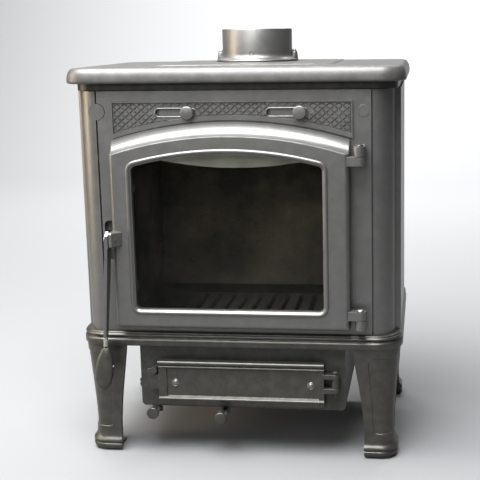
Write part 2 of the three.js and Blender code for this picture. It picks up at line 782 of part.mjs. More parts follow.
function makeAirControl({ name, knobX }) {
  const middle = knobX - shutterShift;
  const plate = box(middle - shutterLength / 2, middle + shutterLength / 2, shutterFront, shutterBack,
    slotZ - shutterHeight / 2, slotZ + shutterHeight / 2);
  const hole = cylinderY(airStemRadius + seat, knobX, slotZ, shutterFront - 1, shutterBack + 1, 14);
  const knobBack = grilleFront - airKnobStandOff;
  const knobFront = knobBack - airKnobThickness;
  const knob = joined(
    cylinderY(airKnobRadius, knobX, slotZ, knobFront + 1.5, knobBack, 24),
    cylinderY(airKnobRadius, knobX, slotZ, knobFront, knobFront + 1.5, 24, airKnobRadius - 1.5),
    cylinderY(airStemRadius, knobX, slotZ, knobBack - 1, shutterBack, 14),
  );
  return [
    mesh(`${name}_air_shutter`, cut(plate, hole), fireIron()),
    mesh(`${name}_air_knob`, knob, stovePaint()),
  ];
}

// ---- door ----

function makeDoorFrame() {
  const bevel = { bevelSize: doorBevel, bevelThickness: doorLip, bevelSegments: 1 };
  const slabFront = wall(archOutline(faceArch, -doorBevel), doorFace, doorFace + 3 * doorLip, 10, bevel);
  const keepFront = box(doorLeft - 5, doorRight + 5, doorFace - 1, glassFront, doorBottom - 5, doorApex + 5);
  const rim = wall(archOutline(faceArch), glassFront - 0.5, doorRimBack, 10);
  const slope = { ...doorArch, apex: doorApex - doorCrown / 2 };
  const crown = joined(
    wall(archOutline(doorArch), doorRimBack - crownThickness, doorRimBack, 10),
    wall(archOutline(slope), doorRimBack - 2 * crownThickness, doorRimBack, 10),
  );
  const bead = wall(archOutline(glassArch, beadWidth - 2), doorFace - beadRise, doorFace + 2, 10, {
    bevelSize: 2, bevelThickness: 1, bevelSegments: 1,
  });
  const lugs = [
    doorLug(upperLugTop - hingeLugHeight, upperLugTop),
    doorLug(lowerLugBottom, lowerLugBottom + hingeLugHeight),
  ];
  const handleLug = joined(
    cylinderX(handleLugRadius, pivotY, pivotZ, doorLeft + 0.5, doorLeft + 14, 20),
    box(doorLeft + 0.5, doorLeft + 14, pivotY, doorFace + 3, pivotZ - handleLugRadius, pivotZ + handleLugRadius),
  );
  const body = joined(slabFront.intersect(keepFront), rim, crown, bead, handleLug, ...lugs);
  return mesh('door_frame', cut(
    body,
    wall(archOutline(glassArch), doorFace - 10, doorRimBack + 1, 10),
    wall(archOutline(glassArch, glassLap + 1), glassFront, doorRimBack + 1, 10),
    wall(ropeBand(seat), doorRimBack - ropeDepth + doorRunning, doorRimBack + 1, 10),
    cylinderX(hingePinRadius + pinClearance, pivotY, pivotZ, doorLeft - 1, doorLeft + 12, 14),
    ...clipPlaces().map(([x, z]) => box(
      x - clipHalf - seat, x + clipHalf + seat, doorRimBack - 3.5, doorRimBack + 1,
      z - clipHalf - seat, z + clipHalf + seat)),
  ), stovePaint());
}

function doorLug(z0, z1) {
  const lug = joined(
    cylinderZ(hingeLugRadius, hingeX, hingeY, z0, z1, 18),
    box(doorRight - 4, hingeX, hingeY - hingeLugRadius, hingeY + hingeLugRadius, z0, z1),
  );
  return cut(lug, cylinderZ(hingePinRadius + pinClearance, hingeX, hingeY, z0 - 1, z1 + 1, 16));
}

function ropeBand(play) {
  const band = archOutline(glassArch, ropeFromOpening + ropeWidth + play);
  band.holes.push(archOutline(glassArch, ropeFromOpening - play));
  return band;
}

function makeDoorSeals() {
  const gasketFront = glassFront + seat;
  const glassStart = gasketFront + gasketThickness + seat;
  const gasketBand = archOutline(glassArch, glassLap);
  gasketBand.holes.push(archOutline(glassArch, 1));
  const ropeFront = doorRimBack - ropeDepth + doorRunning + seat;
  return [
    mesh('glass_gasket', wall(gasketBand, gasketFront, gasketFront + gasketThickness, 8), ropeWhite()),
    mesh('door_glass', wall(archOutline(glassArch, glassLap), glassStart, glassStart + glassThickness, 10), fireGlass()),
    mesh('door_rope_seal', wall(ropeBand(0), ropeFront, bodyFront - seat, 8), ropeWhite()),
  ];
}

// where the four clips that hold the glass sit, on the back of the door's rim
function clipPlaces() {
  const left = glassArch.left - clipHalf - 1;
  const right = glassArch.right + clipHalf + 1;
  const low = glassArch.bottom + 40;
  const high = glassArch.apex - glassArch.rise - 40;
  return [[left, low], [left, high], [right, low], [right, high]];
}

function makeGlassClips() {
  const names = ['lower_left', 'upper_left', 'lower_right', 'upper_right'];
  const glassBack = glassFront + 2 * seat + gasketThickness + glassThickness;
  return clipPlaces().map(([x, z], i) => {
    const inward = x < (glassArch.left + glassArch.right) / 2 ? 1 : -1;
    const tongue = [x, x + inward * clipHalf].sort((a, b) => a - b);
    return mesh(`glass_clip_${names[i]}`, joined(
      box(x - clipHalf, x + clipHalf, doorRimBack - 3, doorRimBack, z - clipHalf, z + clipHalf),
      box(tongue[0], tongue[1], glassBack + seat, doorRimBack - 2, z - clipHalf, z + clipHalf),
    ), steel());
  });
}

function makeHingePins() {
  const upperBossBottom = upperLugTop + seat + 0.7;
  const lowerBossTop = lowerLugBottom - seat - 0.7;
  const upper = joined(
    cylinderZ(hingePinRadius, hingeX, hingeY,
      upperLugTop - hingeLugHeight - 2, upperBossBottom + hingeBossHeight + 1, 16),
    cylinderZ(pinHeadRadius, hingeX, hingeY,
      upperBossBottom + hingeBossHeight + seat, upperBossBottom + hingeBossHeight + 3, 16),
  );
  const lower = joined(
    cylinderZ(hingePinRadius, hingeX, hingeY,
      lowerBossTop - hingeBossHeight + 1, lowerLugBottom + hingeLugHeight + 1, 16),
    cylinderZ(pinHeadRadius, hingeX, hingeY,
      lowerLugBottom + hingeLugHeight + 0.6, lowerLugBottom + hingeLugHeight + 3.4, 16, 4.5),
  );
  return [mesh('upper_hinge_pin', upper, darkPaint()), mesh('lower_hinge_pin', lower, steel())];
}

// ---- handle ----

function makeHandle() {
  const bossRadius = 15;
  const lowEnd = pivotZ - leverLength;
  const leverFront = pivotY - leverReach;
  const arm = new THREE.Shape();
  arm.moveTo(leverFront, lowEnd - pivotZ);
  arm.lineTo(leverFront + leverDepth * 0.6, lowEnd - pivotZ);
  arm.lineTo(leverFront + leverDepth, -leverLength / 3);
  arm.lineTo(leverFront + leverDepth, 0);
  arm.lineTo(leverFront, 0);
  const lever = new THREE.Shape();
  lever.moveTo(leverFront, pivotZ - bossRadius);
  lever.lineTo(pivotY + bossRadius * 0.8, pivotZ - bossRadius * 0.6);
  lever.lineTo(pivotY + bossRadius, pivotZ - tongueHeight / 2);
  lever.lineTo(pivotY + tongueReach, pivotZ - tongueHeight / 2);
  lever.lineTo(pivotY + tongueReach, pivotZ + tongueHeight / 2 - 3);
  lever.lineTo(pivotY + tongueReach - 5, pivotZ + tongueHeight / 2);
  lever.lineTo(pivotY + bossRadius, pivotZ + tongueHeight / 2);
  lever.lineTo(pivotY + bossRadius * 0.7, pivotZ + bossRadius * 0.75);
  lever.lineTo(pivotY, pivotZ + bossRadius);
  lever.lineTo(leverFront, pivotZ + bossRadius * 0.5);
  const splayed = sideCut(arm, leverLeft - leverRight, 0)
    .rotate([0, leverSplay, 0])
    .translate([leverRight, 0, pivotZ]);
  const blade = cut(
    joined(sideCut(lever, leverLeft, leverRight, 4), splayed),
    cylinderX(hingePinRadius + seat, pivotY, pivotZ, leverLeft - 1, leverRight + 1, 14),
  );
  const pin = joined(
    cylinderX(hingePinRadius, pivotY, pivotZ, leverLeft - 3, doorLeft + 11, 14),
    cylinderX(6.5, pivotY, pivotZ, leverLeft - 3, leverLeft - 0.4, 14),
  );
  const ferruleX = (leverLeft + leverRight) / 2 - leverLength * Math.sin(leverSplay * Math.PI / 180);
  const ferruleY = leverFront + leverPinLift;
  const ferruleTop = lowEnd - seat;
  const ferruleBottom = ferruleTop - ferruleLength;
  const grip = gripSolid(ferruleX - 5, ferruleY, ferruleBottom - seat);
  const gripPin = cylinderX(2.2, ferruleY, ferruleBottom - gripLength * 0.45,
    ferruleX - 5 + gripWidth / 2 - 6, ferruleX - 5 + gripWidth / 2 + 1.5, 10);
  const gripHole = cylinderX(2.5, ferruleY, ferruleBottom - gripLength * 0.45,
    ferruleX - 5 + gripWidth / 2 - 7, ferruleX + gripWidth, 10);
  return [
    mesh('handle_lever', blade, stovePaint()),
    mesh('handle_pivot_pin', pin, darkPaint()),
    mesh('handle_ferrule', cylinderZ(ferruleRadius, ferruleX, ferruleY, ferruleBottom, ferruleTop, 16), steel()),
    mesh('handle_grip', cut(grip, gripHole), stovePaint()),
    mesh('grip_pin', gripPin, steel()),
  ];
}

// a flattened egg hanging under the ferrule
function gripSolid(x, y, top) {
  const geometry = new THREE.SphereGeometry(1, 20, 14);
  geometry.rotateX(Math.PI / 2);
  geometry.scale(gripWidth / 2, gripThickness / 2, gripLength / 2);
  geometry.rotateY(gripTilt);
  geometry.translate(x, y, top - gripLength / 2 - 0.3);
  return solidOf(geometry);
}

function makeLatchKeeper() {
  const right = leverRight + leverGap;
  const block = joined(
    box(right - 26, right + 4, panelBack + seat, panelBack + 5, pivotZ + 7, pivotZ + 44),
    box(right - 26, right + 4, panelBack + seat, panelBack + 12, pivotZ + 7, pivotZ + 14),
  );
  return mesh('latch_keeper', block, darkPaint());
}

// ---- fire chamber lining ----

function makeLining() {
  const brickFront = panelBack + 14;
  const brickBack = bodyBack - backWall - 4;
  const outer = seamHalf + 8;
  const backFront = brickBack - brickThickness;
  const bottom = panelBottom + 0.5;
  const sides = [-1, 1].map((side) => {
    const near = side * (outer - brickThickness);
    const far = side * outer;
    return mesh(side < 0 ? 'firebrick_left' : 'firebrick_right', box(
      Math.min(near, far), Math.max(near, far), brickFront, brickBack, bottom, brickTop), brickClay());
  });
  const back = box(-outer + brickThickness + 0.5, outer - brickThickness - 0.5,
    backFront, brickBack, bottom, brickTop);
  const baffle = box(-outer, outer, brickFront + smokeGap, brickBack,
    brickTop + seat, brickTop + seat + baffleThickness);
  const washBottom = glassArch.apex - 29;
  const washHalf = outer - 34;
  const sag = 36;
  const wash = new THREE.Shape();
  const washRadius = (washHalf * washHalf + sag * sag) / (2 * sag);
  const sweep = Math.asin(washHalf / washRadius);
  wash.moveTo(washHalf, panelTop - 4);
  wash.lineTo(-washHalf, panelTop - 4);
  wash.absarc(0, washBottom + washRadius, washRadius, -Math.PI / 2 - sweep, -Math.PI / 2 + sweep, false);
  return [
    ...sides,
    mesh('firebrick_back', back, brickClay()),
    mesh('baffle_plate', baffle, brickClay()),
    mesh('air_wash_plate', wall(wash, panelBack + 6, panelBack + 10, 8), fireIron()),
  ];
}

function makeGrate() {
  const y0 = -grateDepth / 2 + 10;
  const y1 = grateDepth / 2 + 10;
  const bottom = baseTop - baseSkin + seat;
  const top = bottom + grateThickness - 1;
  const pitch = (grateWidth - 24) / grateBars;
  const slots = Array.from({ length: grateBars }, (_, i) => {
    const x = -grateWidth / 2 + 12 + pitch * (i + 0.5);
    return slab(roundedRectangle(x - 6, x + 6, y0 + 14, y1 - 14, 5.9), bottom - 1, top + 1, 2);
  });
  const tab = box(-grateWidth / 2 + 14, -grateWidth / 2 + 32, y1 - 14, y1 - 2, bottom - 8, bottom + 1);
  return mesh('riddling_grate', joined(cut(box(-grateWidth / 2, grateWidth / 2, y0, y1, bottom, top), ...slots), tab),
    fireIron());
}

// ---- ash pit ----

function pitOutline(inset) {
  const shape = new THREE.Shape();
  const left = pitLeft + inset;
  const right = pitRight - inset;
  const bottom = pitBottom + inset;
  const corner = Math.max(pitCorner - inset, 2);
  shape.moveTo(left + corner, bottom);
  shape.lineTo(right - corner, bottom);
  shape.absarc(right - corner, bottom + corner, corner, -Math.PI / 2, 0, false);
  shape.lineTo(right, pitTop + (inset > 0 ? 5 : 0));
  shape.lineTo(left, pitTop + (inset > 0 ? 5 : 0));
  shape.absarc(left + corner, bottom + corner, corner, Math.PI, 1.5 * Math.PI, false);
  return shape;
}

const linkX = riddlingX;
const linkY = pitBack + riddlingTravel + 2;

function makeAshPit() {
  const shell = cut(
    wall(pitOutline(0), pitFront, pitBack, 4),
    wall(pitOutline(pitWall), pitFront + pitWall, pitBack - pitWall, 3),
  );
  const mouth = box(ashDoorLeft + ashMouthMargin, ashDoorRight - ashMouthMargin, pitFront - 1, pitFront + pitWall + 1,
    ashDoorBottom + ashMouthMargin, ashDoorTop - ashMouthMargin);
  const linkSlot = box(linkX - 9, linkX + 9, pitBack - pitWall - 1, pitBack + 1, baseBottom - 2, pitTop + 1);
  const airSlots = primarySlots(pitBottom - 1, pitBottom + pitWall + 1);
  const rails = [-0.28, 0.28].map((share) => {
    const x = pitOffset + pitWidth * share;
    return box(x - 3, x + 3, pitFront + 12, pitBack - 12, pitBottom + pitWall - 1, panBottom - 0.5);
  });
  const guides = [riddlingX, primaryX].map((x) => cut(
    box(x - 9, x + 9, pitFront + 14, pitFront + 19, rodZ - 9, pitBottom + 1),
    cylinderY(rodRadius + pinClearance, x, rodZ, pitFront + 12, pitFront + 21, 14),
  ));
  const knuckle = cut(
    joined(
      cylinderZ(ashLugRadius, ashPinX, ashPinY, knuckleBottom(), knuckleTop(), 14),
      box(ashPinX - 5, ashPinX + 5, ashPinY, pitFront + 1, knuckleBottom(), knuckleTop()),
    ),
    cylinderZ(ashPinRadius + pinClearance, ashPinX, ashPinY, knuckleBottom() - 1, knuckleTop() + 1, 14),
  );
  const stud = cylinderY(3.5, latchX(), latchZ(), ashDoorFront - 1.4, pitFront + 1, 12);
  return mesh('ash_pit_housing', joined(cut(shell, mouth, linkSlot, ...airSlots), ...rails, ...guides, knuckle, stud),
    darkPaint());
}

// three slots across the pit floor, one slot's width apart
function primarySlots(z0, z1) {
  return [-1, 0, 1].map((i) => box(
    primaryX - 32, primaryX + 32,
    (2 * i - 0.5) * primarySlotWidth, (2 * i + 0.5) * primarySlotWidth, z0, z1));
}

function knuckleBottom() {
  return ashDoorBottom + 39;
}

function knuckleTop() {
  return ashDoorBottom + 56;
}

function latchX() {
  return ashDoorLeft - 7;
}

function latchZ() {
  return ashDoorTop - 18;
}

function makeAshDoor() {
  const outline = roundedRectangle(ashDoorLeft, ashDoorRight, ashDoorBottom, ashDoorTop, 2);
  const field = roundedRectangle(
    ashDoorLeft + ashDoorRim + 6, ashDoorRight - ashDoorRim, ashDoorBottom + ashDoorRim + 7,
    ashDoorTop - ashDoorRim - 9, 2);
  const topNose = cylinderX(4, ashDoorFront, ashDoorTop - 4, ashDoorLeft, ashDoorRight, 12);
  const lowNose = cylinderX(3, ashDoorFront, ashDoorBottom + 9, ashDoorLeft + 3, ashDoorRight - 3, 12);
  const lugs = [[knuckleBottom() - 9.4, knuckleBottom() - 0.4], [knuckleTop() + 0.4, knuckleTop() + 8.4]];
  const lugSolids = lugs.map(([z0, z1]) => cut(
    joined(
      cylinderZ(ashLugRadius, ashPinX, ashPinY, z0, z1, 14),
      box(ashDoorRight - 2, ashPinX, ashPinY - 5, ashPinY + 5, z0, z1),
    ),
    cylinderZ(ashPinRadius + pinClearance, ashPinX, ashPinY, z0 - 1, z1 + 1, 14),
  ));
  const latchLug = box(ashDoorLeft - 16, ashDoorLeft + 2, ashDoorFront + 1, ashDoorBack,
    latchZ() - 36, latchZ() - 9.5);
  const holes = ashScrewPlaces().map(([x, z]) => cylinderY(3.3, x, z, ashDoorFront - 1, ashDoorBack + 1, 10));
  const body = joined(wall(outline, ashDoorFront, ashDoorBack, 2), topNose, lowNose, latchLug, ...lugSolids);
  return mesh('ash_door', cut(body, wall(field, ashDoorFront - 5, ashDoorFront + 3, 2), ...holes), darkPaint());
}

function ashScrewPlaces() {
  const z = ashDoorBottom + ashDoorHeight * 0.5;
  return [[ashDoorLeft + 31, z], [ashDoorRight - 24, z]];
}

function makeAshFittings() {
  const names = ['ash_door_screw_left', 'ash_door_screw_right'];
  const face = ashDoorFront + 3 - seat;
  const screws = ashScrewPlaces().map(([x, z], i) => mesh(names[i], joined(
    cylinderY(6, x, z, face - 2, face, 16),
    cylinderY(6, x, z, face - 3.5, face - 2, 16, 4),
    cylinderY(3, x, z, face - 1, ashDoorBack + 3, 10),
  ), steel()));
  const pinTop = knuckleTop() + 8.4;
  const pin = joined(
    cylinderZ(ashPinRadius, ashPinX, ashPinY, knuckleBottom() - 18, pinTop + 5, 14),
    cylinderZ(5.5, ashPinX, ashPinY, pinTop + 1, pinTop + 4, 14),
  );
  const wing = joined(
    cylinderY(6, latchX(), latchZ(), ashDoorFront - 5.2, ashDoorFront - 1.8, 14),
    box(latchX() - 12, latchX(), ashDoorFront - 5.2, ashDoorFront - 1.8, latchZ() - 3.5, latchZ() + 3.5),
  );
  return [
    ...screws,
    mesh('ash_door_hinge_pin', pin, steel()),
    mesh('ash_door_latch', wing, darkPaint()),
  ];
}

function makeAshPan() {
  const x0 = ashDoorLeft + ashMouthMargin + 6;
  const x1 = ashDoorRight - ashMouthMargin - 6;
  const y0 = pitFront + 1;
  const y1 = pitBack - pitWall - 12;
  const z0 = panBottom;
  const z1 = z0 + panHeight;
  const tray = cut(
    box(x0, x1, y0, y1, z0, z1),
    box(x0 + panWall, x1 - panWall, y0 + panWall, y1 - panWall, z0 + panWall, z1 + 1),
  );
  return mesh('ash_pan', tray, darkPaint());
}

// ---- control rods ----

// a rod along Y with a flared knob at its front end
function makeRod(name, x, frontY, backY) {
  const rodStart = frontY + rodKnobLength * 0.7;
  const flare = [
    [0, 0], [rodKnobRadius - 1, 0], [rodKnobRadius, 1.2], [rodKnobRadius, 5], [rodKnobRadius - 1.5, 8],
    [rodRadius + 2.4, 14], [rodRadius + 1.6, rodKnobLength], [0, rodKnobLength],
  ].map(([r, t]) => new THREE.Vector2(r, t));
  const knob = new THREE.LatheGeometry(flare, 20);
  knob.translate(x, frontY, rodZ);
  const socket = cylinderY(rodRadius + seat, x, rodZ, rodStart - seat, frontY + rodKnobLength + 1, 14);
  return [
    mesh(`${name}_rod`, cylinderY(rodRadius, x, rodZ, rodStart, backY, 14), darkPaint()),
    mesh(`${name}_knob`, cut(solidOf(knob), socket), darkPaint()),
  ];
}

function makeRiddling() {
  const arm = joined(
    box(linkX - 6, linkX + 6, linkY, linkY + 6, rodZ - 8, baseBottom + 8),
    box(linkX - 6, linkX + 6, grateBack() - 16, linkY + 6, baseBottom + 2, baseBottom + 8),
    box(linkX - 6, -grateWidth / 2 + 32, grateBack() - 16, grateBack() - 4, baseBottom + 2, baseBottom + 8),
  );
  return [
    ...makeRod('riddling', riddlingX, bodyFront - 17, linkY - seat),
    mesh('riddling_link', arm, fireIron()),
  ];
}

function grateBack() {
  return grateDepth / 2 + 10;
}

function makePrimaryAir() {
  const plateTopZ = pitBottom - seat;
  const plateBottomZ = plateTopZ - 2.4;
  const front = -4 * primarySlotWidth;
  const plate = joined(
    box(primaryX - 38, primaryX + 38, front, -front, plateBottomZ, plateTopZ),
    box(primaryX - 12, primaryX + 12, front, front + 4, rodZ - 8, plateTopZ),
  );
  return [
    ...makeRod('primary_air', primaryX, bodyFront - 32, front - seat),
    mesh('primary_air_slide', cut(plate, ...primarySlots(plateBottomZ - 1, plateTopZ + 1)), fireIron()),
  ];
}

// ---- assembly ----

const stove = new THREE.Group();
const body = new THREE.Group();
const door = new THREE.Group();
const ashSection = new THREE.Group();
const controls = new THREE.Group();

body.add(
  makeTopPlate(), makeFlueCollar(), ...makeCollarFasteners(), makeTopFrame(), makeFrontPanel(),
  makeSidePanel('left_side_panel', -1), makeSidePanel('right_side_panel', 1), makeBackPanel(), makeRearCover(),
  makeBasePlate(), ...legPlaces().map(makeLeg), ...legPlaces().map(makeLegBolt), makeVentGrille(),
  makeLatchKeeper(), ...makeLining(),
);
door.add(makeDoorFrame(), ...makeDoorSeals(), ...makeGlassClips(), ...makeHingePins(), ...makeHandle());
ashSection.add(makeAshPit(), makeAshDoor(), ...makeAshFittings(), makeAshPan());
controls.add(...slotPlaces.flatMap(makeAirControl), makeGrate(), ...makeRiddling(), ...makePrimaryAir());
stove.add(body, door, ashSection, controls);

// the origin is under the middle of everything, from the handle's lug to the back of the top plate
stove.position.y = -(pivotY - handleLugRadius + bodyBack + plateFrontOverhang) / 2;

export default stove;
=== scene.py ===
import json
import math

import bmesh
import bpy
from mathutils import Matrix, Vector


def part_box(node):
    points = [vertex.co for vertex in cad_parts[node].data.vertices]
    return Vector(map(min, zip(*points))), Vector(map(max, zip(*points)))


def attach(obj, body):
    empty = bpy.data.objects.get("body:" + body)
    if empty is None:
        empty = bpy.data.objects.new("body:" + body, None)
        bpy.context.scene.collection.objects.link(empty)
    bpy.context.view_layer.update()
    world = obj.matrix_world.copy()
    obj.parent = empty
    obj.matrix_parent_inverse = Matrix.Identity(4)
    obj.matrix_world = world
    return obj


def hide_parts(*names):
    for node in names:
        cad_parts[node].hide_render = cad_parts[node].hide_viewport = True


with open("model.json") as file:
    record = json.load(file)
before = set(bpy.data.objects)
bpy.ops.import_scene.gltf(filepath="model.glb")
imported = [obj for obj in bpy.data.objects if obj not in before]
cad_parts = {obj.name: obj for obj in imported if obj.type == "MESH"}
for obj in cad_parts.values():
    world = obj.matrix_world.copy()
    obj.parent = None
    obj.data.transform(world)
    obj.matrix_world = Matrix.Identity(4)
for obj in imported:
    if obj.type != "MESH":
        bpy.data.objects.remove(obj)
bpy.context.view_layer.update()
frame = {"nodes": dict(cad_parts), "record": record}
print("frame loaded")

mm = 0.001


def lowOf(node):
    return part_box(node)[0]


def highOf(node):
    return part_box(node)[1]


bodyFront = lowOf("left_side_panel").y  # face of the corner columns


# node trees

def addNode(tree, kind, **settings):
    node = tree.nodes.new("ShaderNode" + kind)
    for key, value in settings.items():
        setattr(node, key, value)
    return node


def feed(tree, socket, value):
    if isinstance(value, bpy.types.NodeSocket):
        tree.links.new(value, socket)
    else:
        socket.default_value = value


def maths(tree, operation, a, b=0.0, clamp=False):
    node = addNode(tree, "Math", operation=operation, use_clamp=clamp)
    feed(tree, node.inputs[0], a)
    feed(tree, node.inputs[1], b)
    return node.outputs[0]


def blendColours(tree, factor, a, b):
    node = addNode(tree, "Mix", data_type="RGBA", blend_type="MIX")
    feed(tree, node.inputs[0], factor)
    feed(tree, node.inputs[6], a)
    feed(tree, node.inputs[7], b)
    return node.outputs[2]


def noise(tree, place, scale, detail=2.0, rough=0.5):
    node = addNode(tree, "TexNoise")
    feed(tree, node.inputs["Vector"], place)
    feed(tree, node.inputs["Scale"], scale)
    feed(tree, node.inputs["Detail"], detail)
    feed(tree, node.inputs["Roughness"], rough)
    return node.outputs["Fac"]


def spread(tree, value, low, high):
    node = addNode(tree, "MapRange")
    feed(tree, node.inputs["Value"], value)
    feed(tree, node.inputs["From Min"], low)
    feed(tree, node.inputs["From Max"], high)
    return node.outputs["Result"]


def castGroup():
    look = {"patchScale": 5.0, "mottleScale": 55.0, "sandScale": 950.0, "pitScale": 260.0,
            "edgeRadius": 1.4 * mm, "sandShade": 0.16, "mottleShade": 0.05,
            "dark": (0.015, 0.015, 0.014, 1), "light": (0.42, 0.41, 0.39, 1)}
    tree = bpy.data.node_groups.new("castFinish", "ShaderNodeTree")
    face = tree.interface
    sockets = {
        "INPUT": {"Tone": "Color", "Warmth": "Color", "Edge": "Color",
                  "Roughness": "Float", "Grain": "Float", "Wear": "Float"},
        "OUTPUT": {"Color": "Color", "Roughness": "Float", "Height": "Float"},
    }
    for way, rows in sockets.items():
        for name, kind in rows.items():
            face.new_socket(name, in_out=way, socket_type="NodeSocket" + kind)
    given = tree.nodes.new("NodeGroupInput").outputs
    result = tree.nodes.new("NodeGroupOutput").inputs
    place = addNode(tree, "TexCoord").outputs["Object"]
    patches = spread(tree, noise(tree, place, look["patchScale"], 4.0, 0.6), 0.3, 0.7)
    mottle = noise(tree, place, look["mottleScale"], 3.0, 0.6)
    sand = noise(tree, place, look["sandScale"], 2.0, 0.65)
    pits = spread(tree, noise(tree, place, look["pitScale"], 1.0, 0.5), 0.62, 0.75)
    bevel = addNode(tree, "Bevel", samples=4)
    bevel.inputs["Radius"].default_value = look["edgeRadius"]
    geometry = addNode(tree, "NewGeometry")
    dot = addNode(tree, "VectorMath", operation="DOT_PRODUCT")
    feed(tree, dot.inputs[0], bevel.outputs["Normal"])
    feed(tree, dot.inputs[1], geometry.outputs["Normal"])
    edge = spread(tree, dot.outputs["Value"], 0.995, 0.9)
    rubbed = maths(tree, "MULTIPLY", edge, spread(tree, mottle, 0.35, 0.65))
    rubbed = maths(tree, "MULTIPLY", rubbed, given["Wear"])
    colour = blendColours(tree, patches, given["Tone"], given["Warmth"])
    sanded = maths(tree, "MULTIPLY", spread(tree, sand, 0.3, 0.75), look["sandShade"])
    colour = blendColours(tree, sanded, colour, look["dark"])
    dusted = maths(tree, "MULTIPLY", spread(tree, mottle, 0.4, 0.7), look["mottleShade"])
    colour = blendColours(tree, dusted, colour, look["light"])
    colour = blendColours(tree, rubbed, colour, given["Edge"])
    feed(tree, result["Color"], colour)
    uneven = maths(tree, "MULTIPLY", maths(tree, "SUBTRACT", mottle, 0.5), 0.1)
    smoother = maths(tree, "MULTIPLY", rubbed, -0.12)
    rough = maths(tree, "ADD", maths(tree, "ADD", given["Roughness"], uneven), smoother, clamp=True)
    feed(tree, result["Roughness"], rough)
    height = maths(tree, "SUBTRACT", maths(tree, "MULTIPLY", sand, 0.6), maths(tree, "MULTIPLY", pits, 0.35))
    height = maths(tree, "ADD", height, maths(tree, "MULTIPLY", mottle, 0.08))
    feed(tree, result["Height"], maths(tree, "MULTIPLY", height, given["Grain"]))
    return tree


castFinish = castGroup()


def paintMaterial(name, look):
    material = bpy.data.materials.new(name)
    material.use_nodes = True
    tree = material.node_tree
    surface = tree.nodes["Principled BSDF"]
    group = tree.nodes.new("ShaderNodeGroup")
    group.node_tree = castFinish
    for key in ("Tone", "Warmth", "Edge"):
        group.inputs[key].default_value = (*look[key], 1)
    for key in ("Roughness", "Grain", "Wear"):
        group.inputs[key].default_value = look[key]
    bump = addNode(tree, "Bump")
    bump.inputs["Distance"].default_value = 0.35 * mm
    bump.inputs["Strength"].default_value = 1.0
    feed(tree, bump.inputs["Height"], group.outputs["Height"])
    feed(tree, surface.inputs["Base Color"], group.outputs["Color"])
    feed(tree, surface.inputs["Roughness"], group.outputs["Roughness"])
    feed(tree, surface.inputs["Normal"], bump.outputs["Normal"])
    surface.inputs["Metallic"].default_value = look["Metallic"]
    return material


paints = {
    "stovePaint": {"Tone": (0.13, 0.13, 0.127), "Warmth": (0.139, 0.133, 0.124),
                   "Edge": (0.3, 0.3, 0.29), "Roughness": 0.4, "Grain": 0.4, "Wear": 0.4, "Metallic": 0.8},
    "platePaint": {"Tone": (0.045, 0.042, 0.04), "Warmth": (0.052, 0.047, 0.043),
                   "Edge": (0.2, 0.195, 0.185), "Roughness": 0.4, "Grain": 0.5, "Wear": 0.3, "Metallic": 0.2},
    "lowerPaint": {"Tone": (0.056, 0.055, 0.049), "Warmth": (0.062, 0.058, 0.05),
                   "Edge": (0.22, 0.216, 0.21), "Roughness": 0.38, "Grain": 0.4, "Wear": 0.4,
                   "Metallic": 0.8},
    # painted shade: a near-black paint for the band under the top plate, the ash pit housing and the ash door
    # hinge pin, which sit in shade
    "paintedShade": {"Tone": (0.028, 0.029, 0.027), "Warmth": (0.032, 0.03, 0.027),
                   "Edge": (0.12, 0.12, 0.115), "Roughness": 0.42, "Grain": 0.5, "Wear": 0.3,
                   "Metallic": 0.5},
    # soot-dark iron for the parts in the firebox and ash pit; on the collar screw its darkness is painted
    # shade of the socket
    "sootAndShadeIron": {"Tone": (0.045, 0.04, 0.034), "Warmth": (0.075, 0.06, 0.046),
                 "Edge": (0.14, 0.13, 0.115), "Roughness": 0.62, "Grain": 1.4, "Wear": 0.3, "Metallic": 0.3},
    # painted light: a pale iron that lightens the air wash plate, which sits in shade inside the firebox
    "paintedLightIron": {"Tone": (0.5, 0.5, 0.47), "Warmth": (0.44, 0.43, 0.39), "Edge": (0.56, 0.55, 0.52),
                   "Roughness": 0.6, "Grain": 0.8, "Wear": 0.2, "Metallic": 0.1},
    "plainSteel": {"Tone": (0.5, 0.5, 0.48), "Warmth": (0.44, 0.43, 0.4), "Edge": (0.7, 0.7, 0.68),
                   "Roughness": 0.3, "Grain": 0.2, "Wear": 0.5, "Metallic": 0.95},
    "dullSteel": {"Tone": (0.2, 0.2, 0.19), "Warmth": (0.17, 0.165, 0.155), "Edge": (0.4, 0.4, 0.39),
                  "Roughness": 0.38, "Grain": 0.3, "Wear": 0.5, "Metallic": 0.9},
}
materials = {name: paintMaterial(name, look) for name, look in paints.items()}


def brickMaterial():
    look = {"clay": (0.17, 0.14, 0.1, 1), "soot": (0.05, 0.045, 0.036, 1), "ash": (0.16, 0.15, 0.135, 1)}
    material = bpy.data.materials.new("fireBrick")
    material.use_nodes = True
    tree = material.node_tree
    surface = tree.nodes["Principled BSDF"]
    place = addNode(tree, "TexCoord").outputs["Object"]
    grain = noise(tree, place, 320.0, 3.0, 0.7)
    stain = spread(tree, noise(tree, place, 7.0, 5.0, 0.65), 0.35, 0.6)
    colour = blendColours(tree, stain, look["clay"], look["soot"])
    height = addNode(tree, "SeparateXYZ")
    feed(tree, height.inputs[0], place)
    low = spread(tree, height.outputs["Z"], 0.3, 0.23)
    dust = maths(tree, "MULTIPLY", low, spread(tree, grain, 0.35, 0.6))
    dusty = blendColours(tree, maths(tree, "MULTIPLY", dust, 0.5), colour, look["ash"])
    feed(tree, surface.inputs["Base Color"], dusty)
    feed(tree, surface.inputs["Roughness"], spread(tree, grain, -1.5, 0.8))
    bump = addNode(tree, "Bump")
    bump.inputs["Distance"].default_value = 0.8 * mm
    feed(tree, bump.inputs["Height"], grain)
    feed(tree, surface.inputs["Normal"], bump.outputs["Normal"])
    return material


